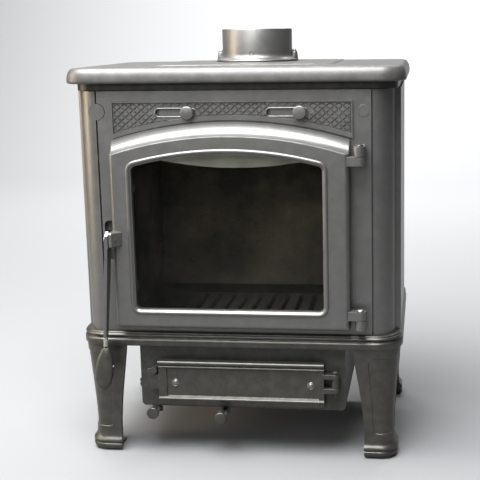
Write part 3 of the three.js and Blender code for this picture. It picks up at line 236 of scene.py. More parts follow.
def ropeMaterial():
    look = {"yarn": (0.3, 0.285, 0.25, 1), "dirt": (0.09, 0.085, 0.075, 1), "ribs": 420.0}
    material = bpy.data.materials.new("glassRope")
    material.use_nodes = True
    tree = material.node_tree
    surface = tree.nodes["Principled BSDF"]
    place = addNode(tree, "TexCoord").outputs["Object"]
    weave = addNode(tree, "TexWave", wave_type="BANDS", bands_direction="DIAGONAL")
    feed(tree, weave.inputs["Vector"], place)
    feed(tree, weave.inputs["Scale"], look["ribs"])
    feed(tree, weave.inputs["Distortion"], 3.0)
    dirt = spread(tree, noise(tree, place, 30.0, 3.0, 0.6), 0.4, 0.65)
    feed(tree, surface.inputs["Base Color"], blendColours(tree, dirt, look["yarn"], look["dirt"]))
    feed(tree, surface.inputs["Roughness"], spread(tree, dirt, -4.0, 1.3))
    bump = addNode(tree, "Bump")
    bump.inputs["Distance"].default_value = 0.5 * mm
    feed(tree, bump.inputs["Height"], weave.outputs["Fac"])
    feed(tree, surface.inputs["Normal"], bump.outputs["Normal"])
    return material


def glassMaterial():
    look = {"clear": (0.9, 0.9, 0.85, 1), "smoke": (0.5, 0.5, 0.44, 1), "roughness": 0.03}
    material = bpy.data.materials.new("fireGlass")
    material.use_nodes = True
    tree = material.node_tree
    surface = tree.nodes["Principled BSDF"]
    place = addNode(tree, "TexCoord").outputs["Object"]
    haze = spread(tree, noise(tree, place, 9.0, 5.0, 0.65), 0.42, 0.75)
    feed(tree, surface.inputs["Base Color"], blendColours(tree, haze, look["clear"], look["smoke"]))
    film = maths(tree, "MULTIPLY", haze, 0.09)
    feed(tree, surface.inputs["Roughness"], maths(tree, "ADD", film, look["roughness"]))
    surface.inputs["Transmission Weight"].default_value = 1.0
    surface.inputs["IOR"].default_value = 1.16
    surface.inputs["Specular IOR Level"].default_value = 0.3
    return material


materials["fireBrick"] = brickMaterial()
materials["glassRope"] = ropeMaterial()
materials["fireGlass"] = glassMaterial()
print("materials made")


# mesh helpers

def roundedLoop(left, right, front, back, radius, z, steps=8, sidePoints=0):
    corners = ((right - radius, front + radius, -90), (right - radius, back - radius, 0),
               (left + radius, back - radius, 90), (left + radius, front + radius, 180))
    points = []
    for cx, cy, start in corners:
        for i in range(steps + 1):
            a = math.radians(start + 90 * i / steps)
            points.append(Vector((cx + radius * math.cos(a), cy + radius * math.sin(a), z)))
    if not sidePoints:
        return points
    filled = []
    for i, p in enumerate(points):
        filled.append(p)
        if i % (steps + 1) == steps:
            q = points[(i + 1) % len(points)]
            filled += [p.lerp(q, k / (sidePoints + 1)) for k in range(1, sidePoints + 1)]
    return filled


def archLoop(arch, grow, y, steps=8, headSteps=40):
    left, right, bottom = arch["left"] - grow, arch["right"] + grow, arch["bottom"] - grow
    middle = (left + right) / 2
    half = (arch["right"] - arch["left"]) / 2
    big = (half ** 2 + arch["rise"] ** 2) / (2 * arch["rise"]) + grow
    centre = arch["apex"] + grow - big
    foot = max(arch["foot"] + grow, 0.3 * mm)
    head = max(arch["head"] + grow, 0.3 * mm)
    headX = right - head
    headZ = centre + math.sqrt((big - head) ** 2 - (headX - middle) ** 2)
    turn = math.atan2(headZ - centre, headX - middle)
    points = []
    for i in range(steps + 1):
        a = math.radians(-90 + 90 * i / steps)
        points.append((right - foot + foot * math.cos(a), bottom + foot + foot * math.sin(a)))
    for i in range(steps + 1):
        a = turn * i / steps
        points.append((headX + head * math.cos(a), headZ + head * math.sin(a)))
    for i in range(1, headSteps):
        a = turn + (math.pi - 2 * turn) * i / headSteps
        points.append((middle + big * math.cos(a), centre + big * math.sin(a)))
    for i in range(steps + 1):
        a = math.pi - turn + turn * i / steps
        points.append((2 * middle - headX + head * math.cos(a), headZ + head * math.sin(a)))
    for i in range(steps + 1):
        a = math.radians(180 + 90 * i / steps)
        points.append((left + foot + foot * math.cos(a), bottom + foot + foot * math.sin(a)))
    return [Vector((x, y, z)) for x, z in points]


def circleLoop(centre, radius, axis, offset, steps=48, squash=1.0):
    points = []
    for i in range(steps):
        a = 2 * math.pi * i / steps
        u, v = radius * math.cos(a), radius * squash * math.sin(a)
        points.append(centre + {"x": Vector((offset, u, v)), "y": Vector((v, offset, u)),
                                "z": Vector((u, v, offset))}[axis])
    return points


def loft(bm, rings, around=False, caps=True):
    loops = [[bm.verts.new(p) for p in ring] for ring in rings]
    pairs = list(zip(loops, loops[1:]))
    if around:
        pairs.append((loops[-1], loops[0]))
    for a, b in pairs:
        for i in range(len(a)):
            j = (i + 1) % len(a)
            bm.faces.new((a[i], a[j], b[j], b[i]))
    if caps and not around:
        bm.faces.new(list(reversed(loops[0])))
        bm.faces.new(loops[-1])
    return loops


def lathe(bm, centre, axis, profile, steps=48):
    loft(bm, [circleLoop(centre, r, axis, t, steps) for r, t in profile])


# a profile of (radius, height) pairs in mm, with its heights counted from base
def turned(bm, centre, axis, base, profile, steps):
    lathe(bm, centre, axis, [(r * mm, base + t * mm) for r, t in profile], steps)


def boxIn(bm, low, high):
    made = bmesh.ops.create_cube(bm, size=1.0)["verts"]
    size = high - low
    for v in made:
        v.co = Vector((low.x + (v.co.x + 0.5) * size.x, low.y + (v.co.y + 0.5) * size.y,
                       low.z + (v.co.z + 0.5) * size.z))


def finishPiece(bm, name, material, body, nodes=(), edge=0.6, angle=32, smooth=True):
    bmesh.ops.remove_doubles(bm, verts=bm.verts, dist=1e-6)
    bmesh.ops.recalc_face_normals(bm, faces=bm.faces)
    mesh = bpy.data.meshes.new(name)
    bm.to_mesh(mesh)
    bm.free()
    for polygon in mesh.polygons:
        polygon.use_smooth = smooth
    piece = bpy.data.objects.new(name, mesh)
    bpy.context.scene.collection.objects.link(piece)
    mesh.materials.append(materials[material])
    if edge:
        bevel = piece.modifiers.new("edges", "BEVEL")
        bevel.width = edge * mm
        bevel.segments = 2
        bevel.limit_method = "ANGLE"
        bevel.angle_limit = math.radians(angle)
        bevel.harden_normals = True
        weighted = piece.modifiers.new("normals", "WEIGHTED_NORMAL")
        weighted.keep_sharp = True
    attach(piece, body)
    if nodes:
        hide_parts(*nodes)
    return piece


def castCopy(node, material, body, edge=0.8):
    bm = bmesh.new()
    bm.from_mesh(frame["nodes"][node].data)
    bmesh.ops.remove_doubles(bm, verts=bm.verts, dist=1e-6)
    bmesh.ops.dissolve_limit(bm, angle_limit=math.radians(0.5), verts=bm.verts, edges=bm.edges)
    return finishPiece(bm, node + "_cast", material, body, (node,), edge)


# top of the stove

def makeTopPlate():
    size = {"noseDrop": 20.5 * mm, "noseRun": 12 * mm, "lowerRound": 4 * mm, "cornerRadius": 42 * mm,
            "hotCorner": 36 * mm, "hotHalf": 168 * mm, "hotFront": 95 * mm, "hotBack": 27 * mm,
            "hotRise": 2 * mm, "skin": 9 * mm, "rim": 14 * mm, "hole": 62 * mm}
    low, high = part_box("top_plate")
    hotTop = high.z
    top = hotTop - size["hotRise"]
    collar = collarAxis()

    def outer(inset, z):
        return roundedLoop(low.x + inset, high.x - inset, low.y + inset, high.y - inset,
                           size["cornerRadius"] - inset, z, 8, 13)

    def hot(inset, z):
        half = size["hotHalf"] - inset
        return roundedLoop(-half, half, low.y + size["hotFront"] + inset,
                           high.y - size["hotBack"] - inset, size["hotCorner"] - inset, z, 8, 13)

    def flueHole(z):
        ring = []
        for p in hot(0, z):
            a = math.atan2(p.y - collar.y, p.x - collar.x)
            ring.append(Vector((collar.x + size["hole"] * math.cos(a),
                                collar.y + size["hole"] * math.sin(a), z)))
        return ring

    rings = [outer(size["rim"], low.z)]
    for i in range(5):
        a = math.radians(90 * i / 4)
        rings.append(outer(size["lowerRound"] * (1 - math.sin(a)),
                           low.z + size["lowerRound"] * (1 - math.cos(a))))
    for i in range(9):
        a = math.radians(90 * i / 8)
        rings.append(outer(size["noseRun"] * (1 - math.cos(a)), top - size["noseDrop"] * (1 - math.sin(a))))
    rings += [hot(-1.2 * mm, top), hot(-0.2 * mm, top + 0.4 * mm), hot(0.9 * mm, hotTop - 0.4 * mm),
              hot(1.9 * mm, hotTop), flueHole(hotTop), flueHole(top - size["skin"]),
              outer(size["rim"], top - size["skin"])]
    bm = bmesh.new()
    loft(bm, rings, around=True)
    finishPiece(bm, "top_plate_cast", "platePaint", "stove", ("top_plate",), 0.8, 40)


def collarAxis():
    low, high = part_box("flue_collar")
    return Vector(((low.x + high.x) / 2, (low.y + high.y) / 2, 0))


def makeFlueCollar():
    size = {"bore": 64 * mm, "outer": 69 * mm, "flange": 81 * mm, "flare": 8.5 * mm, "flareRise": 11 * mm,
            "lugs": 73.5 * mm, "bolts": 73.6 * mm, "boltSeat": 19.3 * mm, "screwRise": 16 * mm}
    lug = [(7.6, 2), (7.2, 8), (6.4, 13), (6, 17.8), (5.2, 19)]
    bolt = [(2.4, -30), (2.4, 0), (4.2, 0), (4.2, 1.6), (3.4, 2.9), (1.6, 3.5)]
    screw = [(5.2, 2), (5.2, -0.7), (4.2, -1), (3.6, 0.5), (1, 1)]
    low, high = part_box("flue_collar")
    axis = collarAxis()
    foot, rim = low.z, high.z
    profile = [(size["bore"], foot), (size["flange"] - 1 * mm, foot), (size["flange"], foot + 1 * mm),
               (size["flange"], foot + 2.6 * mm), (size["flange"] - 1.6 * mm, foot + 4.4 * mm)]
    for i in range(7):
        a = math.radians(90 * i / 6)
        profile.append((size["outer"] + size["flare"] * (1 - math.sin(a)),
                        foot + 5 * mm + size["flareRise"] * (1 - math.cos(a))))
    profile += [(size["outer"], rim - 1.2 * mm), (size["outer"] - 0.4 * mm, rim - 0.4 * mm),
                (size["outer"] - 1.2 * mm, rim), (size["bore"] + 1 * mm, rim), (size["bore"], rim - 1 * mm)]
    bm = bmesh.new()
    loft(bm, [circleLoop(axis, r, "z", z, 96) for r, z in profile], around=True)
    for side in (-1, 1):
        turned(bm, axis + Vector((side * size["lugs"], 0, 0)), "z", foot, lug, 32)
    finishPiece(bm, "flue_collar_cast", "stovePaint", "stove", ("flue_collar",), 0)
    for side, node in ((-1, "collar_bolt_left"), (1, "collar_bolt_right")):
        bm = bmesh.new()
        turned(bm, axis + Vector((side * size["bolts"], 0, 0)), "z", foot + size["boltSeat"], bolt, 24)
        finishPiece(bm, node + "_turned", "dullSteel", "stove", (node,), 0)
    bm = bmesh.new()
    turned(bm, Vector((0, 0, foot + size["screwRise"])), "y", axis.y - size["outer"], screw, 28)
    # painted shade: the collar screw takes the soot-dark iron so that it reads as its shadowed socket
    finishPiece(bm, "collar_screw_turned", "sootAndShadeIron", "stove", ("collar_screw_front",), 0)


def makeBaseMoulding():
    size = {"radius": 50 * mm, "rim": 14 * mm, "skin": 8 * mm, "holeGap": 2 * mm, "holeFront": 27 * mm,
            "holeRound": 3 * mm}
    low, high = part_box("base_plate")
    outline = [(0.8, 0.0), (0.0, 0.8), (0.0, 9.5), (0.7, 11.6), (2.4, 13.0), (4.2, 13.8), (4.4, 15.0),
               (3.0, 15.8), (1.7, 17.0), (1.2, 18.6), (1.7, 20.2), (3.2, 21.4), (4.6, 21.9), (4.4, 22.6),
               (4.9, 23.8), (6.2, 24.7), (8.0, 25.0)]  # inset and rise, mm

    def outer(inset, z):
        return roundedLoop(low.x + inset, high.x - inset, low.y + inset, high.y - inset,
                           size["radius"] - inset, z, 12)

    rings = [outer(size["rim"], low.z)]
    rings += [outer(inset * mm, low.z + rise * mm) for inset, rise in outline]
    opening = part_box("riddling_grate")
    hole = (opening[0].x - size["holeGap"], opening[1].x + size["holeGap"],
            opening[0].y - size["holeFront"], opening[1].y + size["holeGap"])
    rings.append(roundedLoop(*hole, size["holeRound"], high.z, 12))
    rings.append(roundedLoop(*hole, size["holeRound"], high.z - size["skin"], 12))
    rings.append(outer(size["rim"], high.z - size["skin"]))
    bm = bmesh.new()
    loft(bm, rings, around=True)
    finishPiece(bm, "base_moulding", "lowerPaint", "stove", ("base_plate",), 0)


# legs

def makeLegs():
    size = {"wall": 8 * mm, "corner": 42 * mm, "recess": 1.4 * mm, "panelLow": 45 * mm,
            "panelHigh": 191 * mm, "line": -0.38, "padShare": 0.53, "padLean": 5.5 * mm, "padInset": 1 * mm,
            "padThick": 6 * mm, "capInset": 14 * mm, "capThick": 9 * mm}
    # rise in mm, share of the half width, outward lean in mm
    stations = [(0, 0.56, 5.5), (0.8, 0.605, 5.9), (2.4, 0.652, 6.3), (4.6, 0.69, 6.7), (7.4, 0.716, 7),
                (10.2, 0.724, 7), (12.6, 0.712, 6.8), (13.6, 0.692, 6.5), (14.8, 0.704, 6.6),
                (17, 0.722, 6.9), (19.6, 0.724, 6.9), (22, 0.708, 6.4), (24, 0.68, 5.4), (27, 0.654, 4.7),
                (34, 0.64, 4.2), (43, 0.632, 4), (45, 0.631, 4), (45.8, 0.631, 4), (48, 0.63, 4),
                (52, 0.632, 4), (58, 0.635, 3.9), (75, 0.66, 3.5), (95, 0.7, 3.1), (115, 0.75, 2.6),
                (135, 0.805, 2), (155, 0.865, 1.4), (170, 0.91, 0.9), (178, 0.932, 0.7), (184, 0.948, 0.5),
                (188, 0.96, 0.4), (190.2, 0.965, 0.3), (191, 0.968, 0.3), (199, 0.988, 0.1), (206.7, 1, 0)]
    for node in ("leg_front_left", "leg_front_right", "leg_rear_left", "leg_rear_right"):
        low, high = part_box(node)
        centre = (low + high) / 2
        half = (high.x - low.x) / 2
        sx, sy = math.copysign(1, centre.x), 1 if "rear" in node else -1
        rings = []
        for rise, share, lean in stations:
            z = rise * mm
            w = half * share
            inside = size["panelLow"] < z < size["panelHigh"]
            lift = -size["recess"] if inside else 0
            line = panelLine(rise, size["line"]) * w
            corner = size["corner"] * share
            edge = w - corner
            wall = size["wall"]
            plan = [(-w, w), (line - 0.9 * mm, w), (line, w + lift), (max(edge, line + 0.5 * mm), w + lift)]
            for i in range(1, 16):
                a = math.radians(90 - 90 * i / 16)
                plan.append((edge + (corner + lift) * math.cos(a), edge + (corner + lift) * math.sin(a)))
            plan += [(w + lift, max(edge, line + 0.5 * mm)), (w + lift, line), (w, line - 0.9 * mm), (w, -w)]
            plan += [(w - wall, -w), (w - wall, edge)]
            for i in range(1, 8):
                a = math.radians(90 * i / 8)
                plan.append((edge + (corner - wall) * math.cos(a), edge + (corner - wall) * math.sin(a)))
            plan += [(edge, w - wall), (-w, w - wall)]
            rings.append([
                Vector((centre.x + sx * (x + lean * mm), centre.y + sy * (y + lean * mm), z)) for x, y in plan
            ])
        bm = bmesh.new()
        loft(bm, rings)
        foot = centre + Vector((sx * size["padLean"], sy * size["padLean"], 0))
        pad = size["padShare"] * half - size["padInset"]
        boxIn(bm, Vector((foot.x - pad, foot.y - pad, 0)),
              Vector((foot.x + pad, foot.y + pad, size["padThick"])))
        cap = half - size["capInset"]
        boxIn(bm, Vector((centre.x - cap, centre.y - cap, high.z - size["capThick"])),
              Vector((centre.x + cap, centre.y + cap, high.z)))
        finishPiece(bm, node + "_cast", "lowerPaint", "stove", (node,), 0.3, 28)


# where a leg's recessed panel starts, as a share of its half width; it rounds off at both ends
def panelLine(rise, plain):
    ends = {"top": 176, "topRun": 15, "foot": 52, "footRun": 7, "turn": 0.3}  # rises and runs in mm
    if rise > ends["top"]:
        t = min((rise - ends["top"]) / ends["topRun"], 1)
    elif rise < ends["foot"]:
        t = min((ends["foot"] - rise) / ends["footRun"], 1)
    else:
        return plain
    return plain + ends["turn"] * (1 - math.sqrt(1 - t * t))


# door

doorArch = {"left": -216 * mm, "right": 204 * mm, "bottom": 245 * mm, "apex": 611 * mm, "rise": 31 * mm,
            "foot": 5 * mm, "head": 3 * mm}
glassArch = {"left": -177 * mm, "right": 158 * mm, "bottom": 280 * mm, "apex": 557 * mm, "rise": 22 * mm,
             "foot": 9 * mm, "head": 9 * mm}


def makeDoorCasting():
    size = {"face": 28 * mm, "coveDepth": 20 * mm, "coveDrop": 23 * mm, "sideRound": 9 * mm,
            "rimBack": 2.7 * mm, "glassSeat": 16 * mm, "ledge": 10 * mm, "ropeIn": 15.6 * mm,
            "ropeOut": 26.4 * mm, "ropeDeep": 4.4 * mm,
            "lugReach": 22 * mm, "lugRadius": 10 * mm, "steps": 22}
    face = bodyFront - size["face"]
    back = bodyFront - size["rimBack"]
    rings = [archLoop(doorArch, -0.8 * mm, back), archLoop(doorArch, 0, back - 0.8 * mm)]
    rings.append(archLoop(doorArch, 0, face + size["coveDepth"] + 1.6 * mm))
    for i in range(size["steps"] + 1):
        a = math.radians(90 * i / size["steps"])
        depth = 1 * mm + size["coveDepth"] * math.cos(a)
        near = max(size["sideRound"] - depth, 0)
        side = size["sideRound"] - math.sqrt(size["sideRound"] ** 2 - near ** 2)
        rings.append(coveLoop(size["coveDrop"] * math.sin(a), side, face + depth))
    rings.append(coveLoop(size["coveDrop"] + 0.5 * mm, size["sideRound"] - 3 * mm, face + 0.3 * mm))
    rings.append(coveLoop(size["coveDrop"] + 1.6 * mm, size["sideRound"], face))
    bead = [(9.4, 0.1), (9.0, -0.5), (8.4, -1.5), (7.3, -2.3), (5.8, -2.6), (4.4, -2.4), (3.2, -1.6),
            (2.4, -0.4), (1.4, 0.6), (0.0, 1.2)]  # outset and depth, mm
    rings += [archLoop(glassArch, grow * mm, face + depth * mm) for grow, depth in bead]
    seatY = bodyFront - size["glassSeat"]
    groove = back - size["ropeDeep"]
    rings += [archLoop(glassArch, grow, y) for grow, y in (
        (0, seatY), (size["ledge"], seatY), (size["ledge"], back), (size["ropeIn"], back),
        (size["ropeIn"], groove), (size["ropeOut"], groove), (size["ropeOut"], back))]
    bm = bmesh.new()
    loft(bm, rings, around=True)
    hinge = hingeAxis()
    for z0, z1 in doorLugHeights():
        hingeLug(bm, hinge, z0, z1, -size["lugReach"], size["lugRadius"])
    handleLug(bm)
    finishPiece(bm, "door_casting", "stovePaint", "door", ("door_frame",), 0.5, 30)


def coveLoop(drop, side, y):
    arch = dict(doorArch, left=doorArch["left"] + side, right=doorArch["right"] - side,
                bottom=doorArch["bottom"] + side, apex=doorArch["apex"] - drop)
    return archLoop(arch, 0, y)


def hingeAxis():
    low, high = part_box("upper_hinge_pin")
    return Vector(((low.x + high.x) / 2, (low.y + high.y) / 2, 0))


def doorLugHeights():
    size = {"upperLift": 2 * mm, "lowerDrop": 18.4 * mm, "height": 15 * mm}
    upper = lowOf("upper_hinge_pin").z + size["upperLift"]
    lower = highOf("lower_hinge_pin").z - size["lowerDrop"]
    return (upper, upper + size["height"]), (lower, lower + size["height"])


def hingeLug(bm, axis, z0, z1, reach, radius):
    plan = [Vector((reach, -radius, 0)), Vector((0, -radius, 0))]
    for i in range(1, 24):
        a = math.radians(-90 + 180 * i / 24)
        plan.append(Vector((radius * math.cos(a), radius * math.sin(a), 0)))
    plan += [Vector((0, radius, 0)), Vector((reach, radius, 0))]
    loft(bm, [[axis + p + Vector((0, 0, z)) for p in plan] for z in (z0, z1)])


def handleLug(bm):
    size = {"half": 14 * mm, "ahead": 9 * mm, "corner": 5 * mm, "left": -215.5 * mm, "rampStart": -211 * mm,
            "rampEnd": -197 * mm, "root": 26 * mm, "rampLip": 2.3 * mm, "taper": 2 * mm}
    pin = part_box("handle_pivot_pin")
    y, z = (pin[0].y + pin[1].y) / 2, (pin[0].z + pin[1].z) / 2
    root = bodyFront - size["root"]
    full = y - size["ahead"]
    rings = []
    for x, front, half in ((size["left"], full, size["half"]), (size["rampStart"], full, size["half"]),
                           (size["rampEnd"], root - size["rampLip"], size["half"] - size["taper"])):
        corner = min(size["corner"], 0.9 * (root - front))
        ring = [Vector((x, root, z + half))]
        for side in (1, -1):
            for i in range(9):
                a = math.radians(90 * i / 8)
                across, up = (math.sin(a), math.cos(a)) if side > 0 else (math.cos(a), math.sin(a))
                ring.append(Vector((x, front + corner - corner * across,
                                    z + side * (half - corner + corner * up))))
        ring.append(Vector((x, root, z - half)))
        rings.append(ring)
    loft(bm, rings)


def makeDoorGlass():
    overlap = 8.8 * mm
    low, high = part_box("door_glass")
    bm = bmesh.new()
    loft(bm, [archLoop(glassArch, overlap, y) for y in (low.y, high.y)])
    finishPiece(bm, "door_glass_pane", "fireGlass", "door", ("door_glass",), 0, smooth=False)


def makeRopeSeal():
    size = {"outset": 21 * mm, "half": 4.9 * mm}
    low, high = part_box("door_rope_seal")
    centreY = (low.y + high.y) / 2
    depth = (high.y - low.y) / 2
    rings = []
    for i in range(16):
        a = 2 * math.pi * i / 16
        rings.append(archLoop(glassArch, size["outset"] + size["half"] * math.cos(a),
                              centreY + depth * math.sin(a)))
    bm = bmesh.new()
    loft(bm, rings, around=True)
    finishPiece(bm, "door_rope", "glassRope", "door", ("door_rope_seal",), 0)


def makeHingePins():
    size = {"pin": 4 * mm, "head": 6 * mm, "headHeight": 2.9 * mm, "ease": 0.4 * mm}
    axis = hingeAxis()
    rows = (("upper_hinge_pin", "lowerPaint", "dark_paint"), ("lower_hinge_pin", "plainSteel", "steel"))
    for node, look, slot in rows:
        low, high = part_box(node)
        neck = high.z - size["headHeight"]
        pin, head = size["pin"], size["head"]
        bm = bmesh.new()
        lathe(bm, axis, "z", [(pin - size["ease"], low.z), (pin, low.z + 0.6 * mm), (pin, neck), (head, neck),
                              (head, neck + 1.6 * mm), (head - 1 * mm, neck + 2.5 * mm),
                              (head - 3 * mm, high.z)], 32)
        finishPiece(bm, node + "_turned", look, "stove", (node,), 0)


# handle

def makeHandle():
    castCopy("handle_lever", "stovePaint", "handle", 0.9)
    makeFerrule()
    makeGrip()
    makeHandlePins()


def makeFerrule():
    size = {"rim": 4.5 * mm, "waist": 4.1 * mm, "topRim": 4.4 * mm, "mouth": 3.6 * mm}
    low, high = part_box("handle_ferrule")
    centre = Vector(((low.x + high.x) / 2, (low.y + high.y) / 2, 0))
    bm = bmesh.new()
    lathe(bm, centre, "z", [(size["rim"], low.z), (size["rim"], low.z + 4 * mm),
                            (size["waist"], low.z + 5 * mm), (size["waist"], high.z - 3 * mm),
                            (size["topRim"], high.z - 1.5 * mm), (size["mouth"], high.z)], 32)
    finishPiece(bm, "ferrule_turned", "plainSteel", "handle", ("handle_ferrule",), 0)


def makeGrip():
    size = {"width": 16.5 * mm, "thick": 9.5 * mm, "tilt": 0.12, "fullness": 0.9, "taper": 0.13}
    low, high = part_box("handle_grip")
    middle = (low + high) / 2
    length = high.z - low.z
    tilt = math.tan(size["tilt"])
    rings = []
    for i in range(1, 32):
        a = math.pi * i / 32
        z = -math.cos(a) * length / 2
        share = math.sin(a) ** size["fullness"] * (1 - size["taper"] * math.cos(math.pi - a))
        place = Vector((middle.x + z * tilt, middle.y, middle.z + z))
        rings.append(circleLoop(place, size["width"] * share, "z", 0, 40, size["thick"] / size["width"]))
    bm = bmesh.new()
    loft(bm, rings)
    finishPiece(bm, "grip_cast", "lowerPaint", "handle", ("handle_grip",), 0)


def makeHandlePins():
    size = {"gripPin": 2.1 * mm, "gripPinEnd": 0.6 * mm, "pivot": 4 * mm, "pivotHead": 6.4 * mm,
            "pivotHeadLong": 2.6 * mm}
    low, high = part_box("grip_pin")
    centre = (low + high) / 2
    bm = bmesh.new()
    lathe(bm, Vector((0, centre.y, centre.z)), "x", [
        (size["gripPin"], low.x), (size["gripPin"], high.x - 1 * mm), (1.4 * mm, high.x - 0.2 * mm),
        (size["gripPinEnd"], high.x)], 20)
    finishPiece(bm, "grip_pin_turned", "plainSteel", "handle", ("grip_pin",), 0)
    low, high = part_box("handle_pivot_pin")
    centre = (low + high) / 2
    shoulder = low.x + size["pivotHeadLong"]
    bm = bmesh.new()
    lathe(bm, Vector((0, centre.y, centre.z)), "x", [
        (size["pivotHead"] - 1 * mm, low.x), (size["pivotHead"], low.x + 0.8 * mm),
        (size["pivotHead"], shoulder), (size["pivot"], shoulder), (size["pivot"], high.x)], 32)
    finishPiece(bm, "handle_pivot_turned", "stovePaint", "door", ("handle_pivot_pin",), 0)


# air controls

def makeAirControls():
    button = [(10.2, 0), (10.6, 0.15), (12, 1.7), (12, 6.4), (11.4, 7), (4, 7)]  # radius and depth, mm
    stem = 4 * mm
    for side in ("left", "right"):
        low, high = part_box(side + "_air_knob")
        centre = (low + high) / 2
        axis = Vector((centre.x, 0, centre.z))
        bm = bmesh.new()
        lathe(bm, axis, "y", [(r * mm, low.y + t * mm) for r, t in button] + [(stem, high.y)], 48)
        finishPiece(bm, side + "_air_knob_turned", "stovePaint", side + "_air_control",
                    (side + "_air_knob",), 0)
        castCopy(side + "_air_shutter", "stovePaint", side + "_air_control", 0.4)


def makeGrille():
    size = {"pitchX": 14.4 * mm, "pitchZ": 12.2 * mm, "groove": 0.8 * mm, "height": 1.9 * mm,
            "slope": 1.7 * mm, "edge": 2.2 * mm, "arcBand": 8 * mm, "floor": 3.7 * mm,
            "cadRim": 6 * mm, "cadFloor": 2.2 * mm,
            "arcRise": 32 * mm, "slotPlaces": (-100 * mm, 96 * mm), "slotDrop": 20 * mm, "slotHalf": 35 * mm,
            "slotRound": 6 * mm, "slotClear": 11.5 * mm, "sideGap": 1.2 * mm, "topGap": 1.6 * mm}
    low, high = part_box("vent_grille")
    floorY = low.y + size["floor"]
    middle, half, rise = (low.x + high.x) / 2, (high.x - low.x) / 2, size["arcRise"]
    radius = (half ** 2 + rise ** 2) / (2 * rise)
    centre = Vector((middle, 0, low.z + rise - radius))
    bm = bmesh.new()
    bm.from_mesh(frame["nodes"]["vent_grille"].data)
    bmesh.ops.remove_doubles(bm, verts=bm.verts, dist=1e-6)
    for v in bm.verts:
        if abs(v.co.x - low.x - size["cadRim"]) < 0.2 * mm:
            v.co.x = low.x + size["edge"]
        if abs(high.x - v.co.x - size["cadRim"]) < 0.2 * mm:
            v.co.x = high.x - size["edge"]
        away = Vector((v.co.x - centre.x, 0, v.co.z - centre.z))
        if abs(away.length - radius - size["cadRim"]) < 0.6 * mm:
            away = away.normalized() * (radius + size["arcBand"])
            v.co.x, v.co.z = centre.x + away.x, centre.z + away.z
        if abs(high.z - v.co.z - size["cadRim"]) < 0.2 * mm:
            v.co.z = high.z - size["edge"]
        if abs(v.co.y - low.y - size["cadFloor"]) < 0.1 * mm:
            v.co.y = floorY
    bmesh.ops.dissolve_limit(bm, angle_limit=math.radians(0.5), verts=bm.verts, edges=bm.edges)
    finishPiece(bm, "vent_grille_cast", "stovePaint", "stove", ("vent_grille",), 0.4)
    left, right = low.x + size["edge"] + size["sideGap"], high.x - size["edge"] - size["sideGap"]
    top = high.z - size["edge"] - size["topGap"]
    slots = [(x, high.z - size["slotDrop"]) for x in size["slotPlaces"]]
    bm = bmesh.new()
    for shift in (0, 0.5):
        for i in range(int((right - left) / size["pitchX"]) + 2):
            for j in range(int((top - low.z) / size["pitchZ"]) + 2):
                x = left + (i + shift) * size["pitchX"]
                z = top - (j + shift) * size["pitchZ"]
                rx, rz = size["pitchX"] / 2 - size["groove"], size["pitchZ"] / 2 - size["groove"]
                polygon = [(x + rx, z), (x, z + rz), (x - rx, z), (x, z - rz)]
                away = Vector((x - centre.x, z - centre.z)).normalized()
                rim = Vector((centre.x, centre.z)) + away * (radius + size["arcBand"] + 1 * mm)
                for point, normal in (((left, 0), (1, 0)), ((right, 0), (-1, 0)), ((0, top), (0, -1)),
                                      (tuple(rim), tuple(away))):
                    polygon = clipPolygon(polygon, point, normal)
                if len(polygon) > 2 and not nearSlot(polygon, slots, size):
                    diamond(bm, polygon, floorY, size)
    finishPiece(bm, "grille_lattice", "stovePaint", "stove", (), 0, smooth=False)
    bm = bmesh.new()
    for x, z in slots:
        rings = []
        for grow, depth in ((0.1, 0.2), (0.3, -0.6), (1.2, -1.1), (2.2, -0.8), (2.6, 0.2)):
            rings.append(obroundLoop(x, z, size["slotHalf"], size["slotRound"], grow * mm,
                                     floorY + depth * mm))
        loft(bm, rings, around=True)
    finishPiece(bm, "grille_slot_rims", "stovePaint", "stove", (), 0)


def clipPolygon(polygon, point, normal):
    kept = []
    for i, a in enumerate(polygon):
        b = polygon[(i + 1) % len(polygon)]
        da = (a[0] - point[0]) * normal[0] + (a[1] - point[1]) * normal[1]
        db = (b[0] - point[0]) * normal[0] + (b[1] - point[1]) * normal[1]
        if da >= 0:
            kept.append(a)
        if (da >= 0) != (db >= 0):
            t = da / (da - db)
            kept.append((a[0] + (b[0] - a[0]) * t, a[1] + (b[1] - a[1]) * t))
    return kept


def nearSlot(polygon, slots, size):
    x = sum(p[0] for p in polygon) / len(polygon)
    z = sum(p[1] for p in polygon) / len(polygon)
    for sx, sz in slots:
        reach = max(0, abs(x - sx) - size["slotHalf"] + size["slotRound"])
        if math.hypot(reach, z - sz) < size["slotClear"]:
            return True
    return False


def diamond(bm, polygon, floorY, size):
    cx = sum(p[0] for p in polygon) / len(polygon)
    cz = sum(p[1] for p in polygon) / len(polygon)
    widest = max(math.hypot(p[0] - cx, p[1] - cz) for p in polygon)
    if widest < 1.5 * mm:
        return
    share = max(0.35, 1 - size["slope"] / widest)
    base = [bm.verts.new((x, floorY + 0.2 * mm, z)) for x, z in polygon]
    peak = floorY - size["height"]
    top = [bm.verts.new((cx + (x - cx) * share, peak, cz + (z - cz) * share)) for x, z in polygon]
    for i in range(len(base)):
        j = (i + 1) % len(base)
        bm.faces.new((base[i], base[j], top[j], top[i]))
    bm.faces.new(top)
    bm.faces.new(list(reversed(base)))


def obroundLoop(x, z, half, radius, grow, y):
    points = []
    for side in (1, -1):
        for i in range(17):
            a = math.radians(-90 * side + 180 * i / 16)
            points.append(Vector((x + side * (half - radius) + (radius + grow) * math.cos(a), y,
                                  z + (radius + grow) * math.sin(a))))
    return points


# ash section and rods

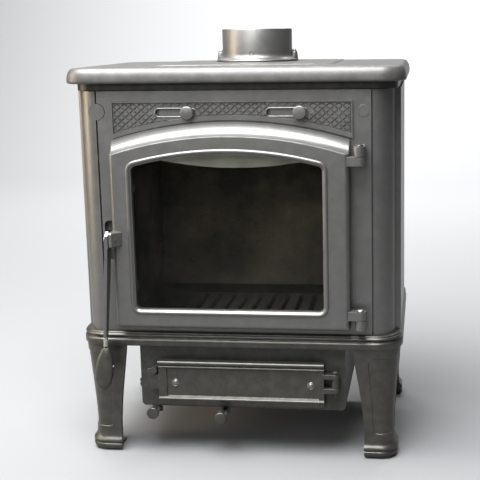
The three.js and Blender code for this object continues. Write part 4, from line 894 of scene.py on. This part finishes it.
def makeAshSection():
    # the ash pit housing and the ash door hinge pin take the painted-shade paint
    castCopy("ash_pit_housing", "paintedShade", "stove", 1.0)
    makeAshDoor()
    castCopy("ash_door_latch", "lowerPaint", "ash_latch", 0.5)
    castCopy("ash_pan", "sootAndShadeIron", "stove", 0.4)
    castCopy("ash_door_hinge_pin", "paintedShade", "stove", 0.4)
    washer = [(7, 4), (6.9, 2.6), (6.2, 2.2), (5.6, 2.6), (5.3, 3.2)]  # radius and depth, mm
    dome = [(5 * math.cos(math.radians(a)), 3.2 - 2.6 * math.sin(math.radians(a)))
            for a in (5, 20, 35, 50, 65, 80)]
    for node in ("ash_door_screw_left", "ash_door_screw_right"):
        low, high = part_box(node)
        centre = (low + high) / 2
        bm = bmesh.new()
        turned(bm, Vector((centre.x, 0, centre.z)), "y", low.y, washer + dome, 36)
        finishPiece(bm, node + "_domed", "dullSteel", "ash_door", (node,), 0)


def makeAshDoor():
    size = {"lip": 4.2, "bead": 2.4, "lowBead": 3.0, "stileLeft": 15 * mm, "stileRight": 10 * mm,
            "leftMargin": 25 * mm, "rightMargin": 18 * mm, "stileFace": 4.3 * mm, "stileBack": 13.8 * mm,
            "stileLow": 15 * mm, "stileTop": 14 * mm, "sideGap": 0.2 * mm, "lugRadius": 7 * mm,
            "latchLow": 54 * mm, "latchHigh": 27.5 * mm, "latchFace": 5 * mm, "latchBack": 13.5 * mm}
    low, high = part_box("ash_door")
    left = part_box("ash_door_screw_left")[0].x - size["leftMargin"]
    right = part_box("ash_door_screw_right")[1].x + size["rightMargin"]
    top, bottom, front = high.z, low.z, low.y

    def bulge(radius, middle, side, angles):
        return [(4.2 - radius * math.cos(math.radians(a)), middle + side * radius * math.sin(math.radians(a)))
                for a in angles]

    # depth, then distance from the top or the bottom edge, mm
    line = [(14, 0), (6.5, 0)] + bulge(size["lip"], size["lip"], -1, range(75, -91, -15))
    line += [(4.8, 9.0), (4.4, 9.8)] + bulge(size["bead"], 12.0, -1, range(80, -91, -17))
    line += [(4.4, 14.6), (7.2, 16.4)]
    under = [(7.2, 17.4), (4.4, 15.8)] + bulge(size["lowBead"], 12.2, 1, range(80, -91, -17))
    under += [(4.6, 8.4), (5.6, 2.2), (7.4, 0), (14, 0)]
    points = [(y, top - d * mm) for y, d in line] + [(y, bottom + d * mm) for y, d in under]
    bm = bmesh.new()
    loft(bm, [[Vector((x, front + y * mm, z)) for y, z in points] for x in (left, right)])
    for x0, x1 in ((left + size["sideGap"], left + size["stileLeft"]),
                   (right - size["stileRight"], right - size["sideGap"])):
        boxIn(bm, Vector((x0, front + size["stileFace"], bottom + size["stileLow"])),
              Vector((x1, front + size["stileBack"], top - size["stileTop"])))
    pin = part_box("ash_door_hinge_pin")
    axis = Vector(((pin[0].x + pin[1].x) / 2, (pin[0].y + pin[1].y) / 2, 0))
    for z0, z1 in ((pin[0].z + 8.6 * mm, pin[0].z + 17.6 * mm), (pin[1].z - 13 * mm, pin[1].z - 5 * mm)):
        hingeLug(bm, axis, z0, z1, right - axis.x - 2 * mm, size["lugRadius"])
    boxIn(bm, Vector((low.x, front + size["latchFace"], top - size["latchLow"])),
          Vector((left + 2 * mm, front + size["latchBack"], top - size["latchHigh"])))
    finishPiece(bm, "ash_door_cast", "lowerPaint", "ash_door", ("ash_door",), 0.6, 34)


def makePullRods():
    knob = [(9.4, 0), (10.2, 0.3), (11, 1.4), (11, 4), (10.8, 6), (10.2, 9), (9.5, 13), (8.9, 18)]
    size = {"neckEnd": 8.6 * mm, "rod": 4.5 * mm, "rodEase": 4.3 * mm, "inside": 8 * mm}
    for name in ("riddling", "primary_air"):
        low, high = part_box(name + "_knob")
        rodLow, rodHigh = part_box(name + "_rod")
        axis = Vector(((low.x + high.x) / 2, 0, (low.z + high.z) / 2))
        bm = bmesh.new()
        lathe(bm, axis, "y", [(r * mm, low.y + t * mm) for r, t in knob] + [(size["neckEnd"], high.y)], 40)
        finishPiece(bm, name + "_knob_turned", "lowerPaint", name, (name + "_knob",), 0)
        bm = bmesh.new()
        start = rodLow.y + size["inside"]
        lathe(bm, axis, "y", [(size["rodEase"], start), (size["rod"], start + 1 * mm),
                              (size["rod"], rodHigh.y)], 24)
        finishPiece(bm, name + "_rod_turned", "lowerPaint", name, (name + "_rod",), 0)


# the rest keeps its shape from the frame: eased edge in mm and a finish

def makeOtherCastings():
    rest = {
        "front_panel": ("stovePaint", 0.9), "left_side_panel": ("stovePaint", 0.8),
        "back_panel": ("stovePaint", 0.9), "right_side_panel": ("stovePaint", 0.8),
        # the band under the top plate takes the painted-shade paint
        "top_frame": ("paintedShade", 0.8), "rear_flue_cover": ("stovePaint", 1.0),
        "latch_keeper": ("sootAndShadeIron", 0.5), "firebrick_left": ("fireBrick", 2.0),
        "firebrick_right": ("fireBrick", 2.0), "firebrick_back": ("fireBrick", 2.0),
        # the air wash plate takes the pale painted-light iron
        "baffle_plate": ("fireBrick", 1.5), "air_wash_plate": ("paintedLightIron", 0.8),
        "leg_bolt_front_left": ("plainSteel", 0.5), "leg_bolt_front_right": ("plainSteel", 0.5),
        "leg_bolt_rear_left": ("plainSteel", 0.5), "leg_bolt_rear_right": ("plainSteel", 0.5),
        "riddling_grate": ("sootAndShadeIron", 0.9), "riddling_link": ("sootAndShadeIron", 0.6),
        "primary_air_slide": ("sootAndShadeIron", 0.4), "glass_gasket": ("glassRope", 0.3),
        "glass_clip_lower_left": ("plainSteel", 0.4),
        "glass_clip_upper_left": ("plainSteel", 0.4), "glass_clip_lower_right": ("plainSteel", 0.4),
        "glass_clip_upper_right": ("plainSteel", 0.4),
    }
    bodies = frame["record"]["behaviour"]["bodies"]
    for node, (look, edge) in rest.items():
        body = next(name for name, nodes in bodies.items() if node in nodes)
        castCopy(node, look, body, edge)


makeTopPlate()
makeFlueCollar()
makeBaseMoulding()
makeLegs()
print("body castings made")
makeDoorCasting()
makeDoorGlass()
makeRopeSeal()
makeHingePins()
makeHandle()
print("door and handle made")
makeAirControls()
makeGrille()
makeAshSection()
makePullRods()
makeOtherCastings()
print("details made")


# stage, light and camera

def makeStage():
    look = {"colour": (0.14, 0.141, 0.143, 1), "roughness": 0.9}
    size = {"half": 9.0, "front": -6.0, "back": 3.0, "bend": 1.5}
    bm = bmesh.new()
    profile = [(size["front"], 0.0), (size["back"], 0.0)]
    for a in range(8, 77, 4):
        across, down = math.sin(math.radians(a)), math.cos(math.radians(a))
        profile.append((size["back"] + size["bend"] * across, size["bend"] - size["bend"] * down))
    rows = [[bm.verts.new((x, y, z)) for y, z in profile] for x in (-size["half"], size["half"])]
    for i in range(len(profile) - 1):
        bm.faces.new((rows[0][i], rows[1][i], rows[1][i + 1], rows[0][i + 1]))
    mesh = bpy.data.meshes.new("floorSweep")
    bm.to_mesh(mesh)
    bm.free()
    for polygon in mesh.polygons:
        polygon.use_smooth = True
    floor = bpy.data.objects.new("floorSweep", mesh)
    bpy.context.scene.collection.objects.link(floor)
    material = bpy.data.materials.new("paleFloor")
    material.use_nodes = True
    surface = material.node_tree.nodes["Principled BSDF"]
    surface.inputs["Base Color"].default_value = look["colour"]
    surface.inputs["Roughness"].default_value = look["roughness"]
    mesh.materials.append(material)


def areaLight(name, place, aim, size, power, colour):
    data = bpy.data.lights.new(name, "AREA")
    data.shape = "RECTANGLE"
    data.size, data.size_y = size
    data.energy = power
    data.color = colour
    lamp = bpy.data.objects.new(name, data)
    lamp.location = place
    lamp.rotation_mode = "QUATERNION"
    lamp.rotation_quaternion = (Vector(aim) - Vector(place)).to_track_quat("-Z", "Y")
    bpy.context.scene.collection.objects.link(lamp)


def makeLights():
    areaLight("overheadSoftbox", (-0.45, -0.75, 2.3), (-0.05, -0.3, 0.6), (2.3, 1.6), 315, (0.955, 0.98, 1.0))
    areaLight("leftWarmPanel", (-2.2, -0.5, 1.1), (0, 0, 0.45), (0.8, 1.8), 48, (1.0, 0.82, 0.62))
    areaLight("frontFill", (-1.0, -3.4, 1.9), (0, 0, 0.55), (2.4, 1.6), 44, (0.97, 0.985, 1.0))
    areaLight("wallWash", (0, 2.4, 3.2), (0, 4.3, 0.8), (4.0, 0.8), 780, (1.0, 1.0, 1.0))
    world = bpy.data.worlds.new("softRoom")
    world.use_nodes = True
    sky = world.node_tree.nodes["Background"]
    sky.inputs["Color"].default_value = (0.95, 0.97, 1.0, 1)
    sky.inputs["Strength"].default_value = 0.14
    bpy.context.scene.world = world


def makeCamera():
    view = {"lens": 73.5, "place": (0.331, -1.8385, 0.760), "yaw": -6.64, "pitch": 9.79, "roll": -0.86,
            "shiftX": -0.15, "shiftY": -0.079}
    data = bpy.data.cameras.new("mainCamera")
    data.sensor_width = 36.0
    data.lens = view["lens"]
    data.shift_x, data.shift_y = view["shiftX"], view["shiftY"]
    camera = bpy.data.objects.new("mainCamera", data)
    yaw, pitch, roll = (math.radians(view[k]) for k in ("yaw", "pitch", "roll"))
    ahead = Vector((math.sin(yaw) * math.cos(pitch), math.cos(yaw) * math.cos(pitch), -math.sin(pitch)))
    turn = ahead.to_track_quat("-Z", "Y").to_matrix().to_4x4()
    camera.location = view["place"]
    camera.rotation_euler = (turn @ Matrix.Rotation(roll, 4, "Z")).to_euler()
    bpy.context.scene.collection.objects.link(camera)
    bpy.context.scene.camera = camera


makeStage()
makeLights()
makeCamera()
bpy.context.scene.view_settings.view_transform = "Standard"
print("scene ready")
